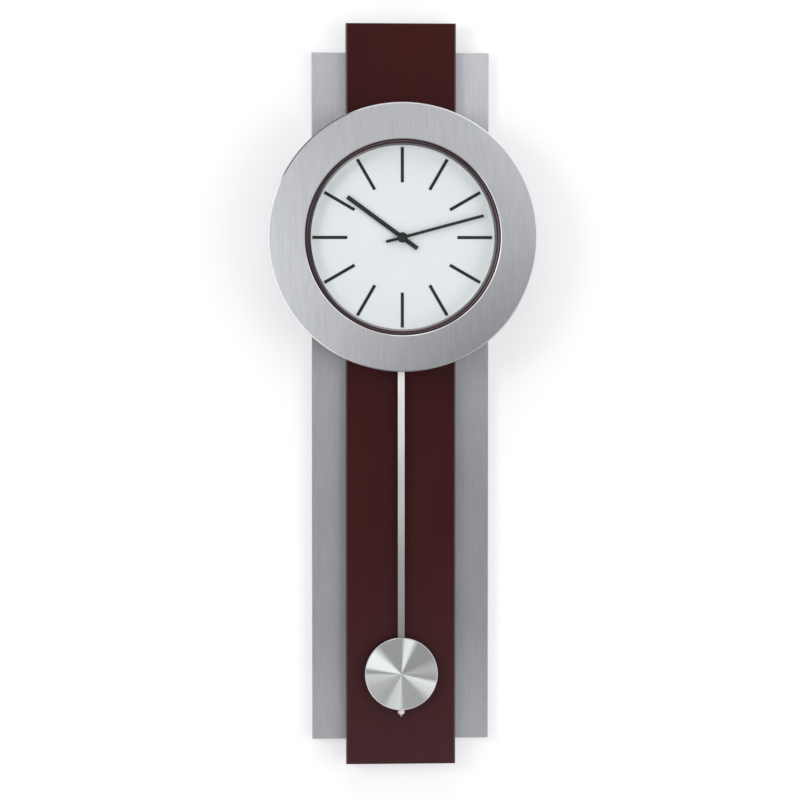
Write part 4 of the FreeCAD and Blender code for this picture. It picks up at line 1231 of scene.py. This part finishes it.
@dataclass
class Movement:
    """The quartz movement behind the dial, its knob and its cell."""

    repeats: RepeatTree
    nub: float = 1.5 * MM
    nub_radius: float = 2.75 * MM
    roll: float = 0.6 * MM
    knob_ribs: int = 24
    case: Moulded = Moulded("case_black", (0.020, 0.020, 0.022), 0.48, 1300.0, 0.00005)
    pale: Moulded = Moulded("natural_plastic", (0.72, 0.72, 0.68), 0.45, 900.0, 0.00002)
    knob_grey: Moulded = Moulded("knob_grey", (0.07, 0.07, 0.075), 0.42, 1200.0)
    brass: BrushedMetal = BrushedMetal("turned_brass", (0.70, 0.50, 0.20), 0.26, 0.05, Grain.NONE)
    steel: BrushedMetal = BrushedMetal("bright_steel", (0.62, 0.62, 0.63), 0.25, 0.04, Grain.NONE)
    copper: BrushedMetal = BrushedMetal("coil_copper", (0.55, 0.19, 0.07), 0.32, 0.12)
    board: Moulded = Moulded("board_green", (0.012, 0.11, 0.045), 0.3, 600.0, 0.00001, 0.4)
    rubber: Moulded = Moulded("washer_rubber", (0.02, 0.02, 0.02), 0.8, 1500.0)

    def build(self) -> None:
        """Dress the sealed pieces and make the knob and the cell."""
        dress(self.case.material(), "movement_front_case", "movement_rear_case")
        dress(self.pale.material(), "front_gear_plate", "rear_gear_plate", "hour_wheel",
              "minute_wheel", "centre_wheel", "third_wheel", "seconds_wheel",
              "intermediate_wheel", "rotor")
        dress(self.brass.material(), "threaded_bush", "bush_nut", "cannon_pinion",
              "positive_contact", "negative_contact")
        dress(self.steel.material(), "motor_stator", "motor_core", "quartz_crystal", "pivot_pin")
        dress(self.copper.material(), "motor_coil", "pendulum_coil")
        dress(self.board.material(), "circuit_board")
        dress(self.rubber.material(), "rubber_washer")
        self.make_knob()
        self.make_cell()

    def make_knob(self) -> None:
        """The ribbed knob that sets the hands."""
        box = Box.of("setting_knob")
        r, front, back = box.radius, box.low.y, box.high.y
        root, c = r - 0.5 * MM, 0.4 * MM
        grey = self.knob_grey.material()
        profile = [(0.0, front), (root, front), (root, back - c), (root - c, back),
                   (1.6 * MM, back), (1.2 * MM, back - 0.5 * MM), (0.0, back - 0.5 * MM)]
        knob = lathe(profile, box.middle, 96)
        rib = Vector((0.55 * MM, back - front - 2 * c, 0.9 * MM))
        ribs = self.repeats.mesh(grey, self.knob_ribs, rib, Vector((0, 0, r - 0.45 * MM)),
                                 box.middle, turn=Vector((0, 2 * math.pi / self.knob_ribs, 0)))
        place_piece(shown("hand_setting_knob", joined(knob, ribs), grey), Body.SETTING,
                    "knob_plastic", "setting_knob")

    def make_cell(self) -> None:
        """The cell: a wrapped can with rolled ends and a positive nub."""
        box = Box.of("battery_cell")
        r, nub, roll = box.radius, self.nub_radius, self.roll
        bottom, top = box.low.z, box.high.z - self.nub
        profile = [(0.0, bottom), (r - 2 * roll, bottom),
                   *arc((r - roll, bottom), (r, bottom + roll), -QUARTER * roll, 4),
                   *arc((r, top - roll), (r - roll, top), -QUARTER * roll, 4),
                   (r - 2 * roll, top - 0.3 * MM), (nub + 0.8 * MM, top - 0.3 * MM),
                   (nub, top), (nub, box.high.z - 0.3 * MM), (nub - 0.3 * MM, box.high.z),
                   (0.0, box.high.z)]
        mesh = upright(profile, box, 96)
        wrap = CellWrap("cell_wrap", (0.02, 0.022, 0.026), (0.62, 0.45, 0.25),
                        bottom + 0.72 * (top - bottom))
        place_piece(shown("wrapped_cell", mesh, wrap.material()), Body.BATTERY, "cell_wrap",
                    "battery_cell")


@dataclass
class Pendulum:
    """The leader, the flat rod with its stud, the bob and the rating nut."""

    repeats: RepeatTree
    bob_dome: float = 0.9 * MM
    bob_rim: float = 0.8 * MM
    bob_edge: float = 1.6 * MM
    nut_bore: float = 1.6 * MM
    nut_taper: float = 1.0 * MM
    nut_ribs: int = 28
    pitch: float = 0.5 * MM
    thread_depth: float = 0.25 * MM
    point: float = 1.2 * MM
    leader: Moulded = Moulded("leader_black", (0.021, 0.021, 0.023), 0.45, 1200.0)
    # The rod's nickel carries painted light and shade: brightest at its top, darker towards its foot.
    rod: BrushedMetal = BrushedMetal(
        "rod_nickel", (0.97, 0.945, 0.90), 0.33, 0.03, metallic=0.45,
        change=PaintedShadingFade(((-0.560, 0.215), (-0.47, 0.35), (-0.38, 0.585), (-0.32, 0.80), (-0.26, 1.12))))
    stud: BrushedMetal = BrushedMetal("stud_nickel", (0.55, 0.54, 0.53), 0.28, 0.04, Grain.NONE)
    barrel: BrushedMetal = BrushedMetal("barrel_nickel", (0.86, 0.74, 0.74), 0.34, 0.03,
                                        Grain.NONE, metallic=0.5)
    rim: BrushedMetal = BrushedMetal("bob_edge", (0.78, 0.77, 0.77), 0.22, 0.02, Grain.NONE)
    backing: Moulded = Moulded("backing_black", (0.021, 0.021, 0.023), 0.5, 1200.0)

    def build(self) -> None:
        """Dress the arm and the rod, and make the bob, the nut and the thread."""
        dress(self.leader.material(), "pendulum_leader")
        dress(self.rod.material(), "pendulum_rod")
        dress(self.stud.material(), "pendulum_magnet")
        self.make_bob()
        self.make_nut()
        self.make_stud()

    def make_bob(self) -> None:
        """The spun disc: a shallow dome inside a bright bevelled rim, and its backing."""
        box = Box.of("bob_face")
        r, front, back = box.radius, box.low.y, box.high.y
        dome, rim, edge = self.bob_dome, self.bob_rim, self.bob_edge
        land = front + dome
        # The bob's spun face carries painted highlight wedges.
        spun = SpunMetalWithPaintedHighlights("spun_nickel", (0.95, 0.96, 0.93), box.middle)
        profile = [(0.0, back), (r, back), (r, land + rim), (r - rim, land), (r - edge, land),
                   *arc((r - edge, land), (0.0, front + 0.02 * MM), 0.25 * dome, 24)[1:-1],
                   (0.0, front)]
        face = shown("bob_disc", lathe(profile, box.middle, 300), spun.material())
        band(face.data, box.middle, self.rim.material(), inner=r - 0.9 * rim)
        place_piece(face, Body.BOB, "spun_bob", "bob_face")
        dress(self.backing.material(), "bob_backing")

    def make_nut(self) -> None:
        """The rating nut: an upright-ribbed barrel with a tapered lower edge."""
        box = Box.of("rating_nut")
        r, bottom, top = box.radius, box.low.z, box.high.z
        bore, taper, root = self.nut_bore, self.nut_taper, r - 0.22 * MM
        profile = [(bore, bottom), (root - taper, bottom), (root, bottom + taper),
                   (root, top - 0.3 * MM), (root - 0.3 * MM, top), (bore, top)]
        nickel = self.barrel.material()
        rib = Vector((0.4 * MM, 0.5 * MM, top - bottom - taper - 0.6 * MM))
        middle = Vector((box.middle.x, box.middle.y, (top - 0.3 * MM + bottom + taper) / 2))
        ribs = self.repeats.mesh(nickel, self.nut_ribs, rib, Vector((0, r - 0.26 * MM, 0)), middle,
                                 turn=Vector((0, 0, 2 * math.pi / self.nut_ribs)))
        place_piece(shown("rating_barrel", joined(upright(profile, box, 96), ribs), nickel),
                    Body.NUT, "nut_nickel", "rating_nut")

    def make_stud(self) -> None:
        """The threaded end: a core with close ridges and a plain point."""
        box = Box.of("rod_stud")
        r, bottom, top = box.radius, box.low.z, box.high.z
        pitch, depth, point = self.pitch, self.thread_depth, self.point
        profile = [(0.0, bottom), (0.3 * MM, bottom), (r - depth, bottom + point),
                   (r - depth, top), (0.0, top)]
        stud = self.stud.material()
        count = int((top - bottom - point) / pitch)
        start = Vector((box.middle.x, box.middle.y, bottom + point))
        ridges = self.repeats.mesh(stud, count, Vector((r - depth, r, pitch * 0.5)), Vector(),
                                   start, move=Vector((0, 0, pitch)), rounded=True)
        place_piece(shown("threaded_end", joined(upright(profile, box, 48), ridges), stud),
                    Body.PENDULUM, "satin_rod", "rod_stud")


@dataclass
class Studio:
    """The floor, the wall, the lights and the camera."""

    target: Vector = field(default_factory=lambda: Vector((-0.0008, -0.024, -0.2974)))
    eye: Vector = field(default_factory=lambda: Vector((-0.1164, -2.424, -0.1934)))
    view_width: float = 0.7670
    sensor: float = 36.0
    floor_drop: float = 1.0
    floor_radius: float = 1.15
    wall_place: float = 0.8 * MM
    wall_width: float = 2.2
    wall_matte: Colour = (0.60, 0.60, 0.60)
    wall_glow: Colour = (0.43, 0.43, 0.43)
    wall_top: float = 0.9
    around: tuple[Colour, float] = ((0.93, 0.95, 1.0), 0.63)
    behind: tuple[Colour, float] = ((0.985, 0.99, 0.99), 0.97)

    # Each light's name, its place from the clock's middle, its side and its power.
    lights: tuple[tuple[str, Colour, float, float], ...] = (
        ("key", (-1.5, -1.9, 0.55), 0.75, 12.5), ("fill", (1.6, -1.9, -0.1), 1.5, 14.0),
        ("top", (-0.2, -0.9, 1.5), 1.0, 5.0), ("back", (0.6, 1.9, 0.6), 1.6, 22.0))

    def build(self) -> None:
        """Make the floor, the wall, the world, the lights and the camera."""
        bpy.context.scene.view_settings.view_transform = "Standard"
        self.make_floor()
        self.make_wall()
        self.make_world()
        for name, offset, size, power in self.lights:
            self.make_light(name, Vector(offset), size, power)
        self.make_camera()

    def make_floor(self) -> None:
        """A round pale floor, well below the clock."""
        mesh = bpy.data.meshes.new("floor")
        with editing(mesh) as work:
            bmesh.ops.create_circle(work, cap_ends=True, segments=96, radius=self.floor_radius)
        mesh.transform(Matrix.Translation((0, 0, -self.floor_drop)))
        mesh.materials.append(Moulded("pale_floor", (0.82, 0.82, 0.82), 0.7, 200.0).material())
        added("floor", mesh)

    def make_wall(self) -> None:
        """The white wall that the clock hangs on, open to the eye from behind."""
        half, y, foot, top = self.wall_width / 2, self.wall_place, -self.floor_drop, self.wall_top
        mesh = bpy.data.meshes.new("wall")
        mesh.from_pydata([(-half, y, foot), (half, y, foot), (half, y, top), (-half, y, top)],
                         [], [(0, 1, 2, 3)])
        wall = added("wall", mesh)
        white = bpy.data.materials.new("white_wall")
        white.use_nodes = True
        nodes, links = white.node_tree.nodes, white.node_tree.links
        nodes.clear()
        out, add, sided = (nodes.new(kind) for kind in (
            "ShaderNodeOutputMaterial", "ShaderNodeAddShader", "ShaderNodeMixShader"))
        matte, glow, clear, facing = (nodes.new(kind) for kind in (
            "ShaderNodeBsdfDiffuse", "ShaderNodeEmission", "ShaderNodeBsdfTransparent",
            "ShaderNodeNewGeometry"))
        matte.inputs["Color"].default_value = (*self.wall_matte, 1.0)
        glow.inputs["Color"].default_value = (*self.wall_glow, 1.0)
        links.new(matte.outputs["BSDF"], add.inputs[0])
        links.new(glow.outputs["Emission"], add.inputs[1])
        links.new(facing.outputs["Backfacing"], sided.inputs["Fac"])
        links.new(add.outputs["Shader"], sided.inputs[1])
        links.new(clear.outputs["BSDF"], sided.inputs[2])
        links.new(sided.outputs["Shader"], out.inputs["Surface"])
        mesh.materials.append(white)
        wall.visible_shadow = wall.visible_diffuse = False

    def make_world(self) -> None:
        """A white surround behind the clock and a softer one around it."""
        world = bpy.data.worlds.new("surround")
        bpy.context.scene.world = world
        world.use_nodes = True
        nodes, links = world.node_tree.nodes, world.node_tree.links
        nodes.clear()
        out = nodes.new("ShaderNodeOutputWorld")
        mix, path = nodes.new("ShaderNodeMixShader"), nodes.new("ShaderNodeLightPath")
        links.new(path.outputs["Is Camera Ray"], mix.inputs["Fac"])
        for entry, (colour, strength) in zip(mix.inputs[1:3], (self.around, self.behind)):
            light = nodes.new("ShaderNodeBackground")
            light.inputs["Color"].default_value = (*colour, 1.0)
            light.inputs["Strength"].default_value = strength
            links.new(light.outputs["Background"], entry)
        links.new(mix.outputs["Shader"], out.inputs["Surface"])

    def make_light(self, name: str, offset: Vector, size: float, power: float) -> None:
        """A square soft light that faces the clock's middle.

        Args:
            name: the light's name.
            offset: its place from the clock's middle.
            size: its side, in metres.
            power: its power, in watts.
        """
        data = bpy.data.lights.new(name, "AREA")
        data.size, data.energy = size, power
        light = added(name, data)
        light.location = self.target + offset
        light.rotation_euler = (-offset).to_track_quat("-Z", "Y").to_euler()

    def make_camera(self) -> None:
        """A long lens at a distance, a little to the left of the clock."""
        data = bpy.data.cameras.new("camera")
        reach = (self.target - self.eye).length
        data.sensor_width = self.sensor
        data.lens = self.sensor * reach / self.view_width
        camera = added("camera", data)
        camera.location = self.eye
        camera.rotation_euler = (self.target - self.eye).to_track_quat("-Z", "Y").to_euler()
        bpy.context.scene.camera = camera


def clear_defaults() -> None:
    """Remove whatever a new file holds that isn't the frame."""
    kept = set(frame["nodes"].values()) | set(frame["bodies"].values())
    for thing in list(bpy.data.objects):
        if thing not in kept:
            bpy.data.objects.remove(thing)


def main() -> None:
    """Build each sub-assembly in order."""
    clear_defaults()
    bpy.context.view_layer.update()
    repeats = RepeatTree()
    for assembly in (Backboard(), Head(repeats), HandSet(), Movement(repeats),
                     Pendulum(repeats), Studio()):
        LOG.info("building %s", type(assembly).__name__)
        assembly.build()


if __name__ == "__main__":
    logging.basicConfig(level=logging.INFO, format="%(name)s: %(message)s")
    main()
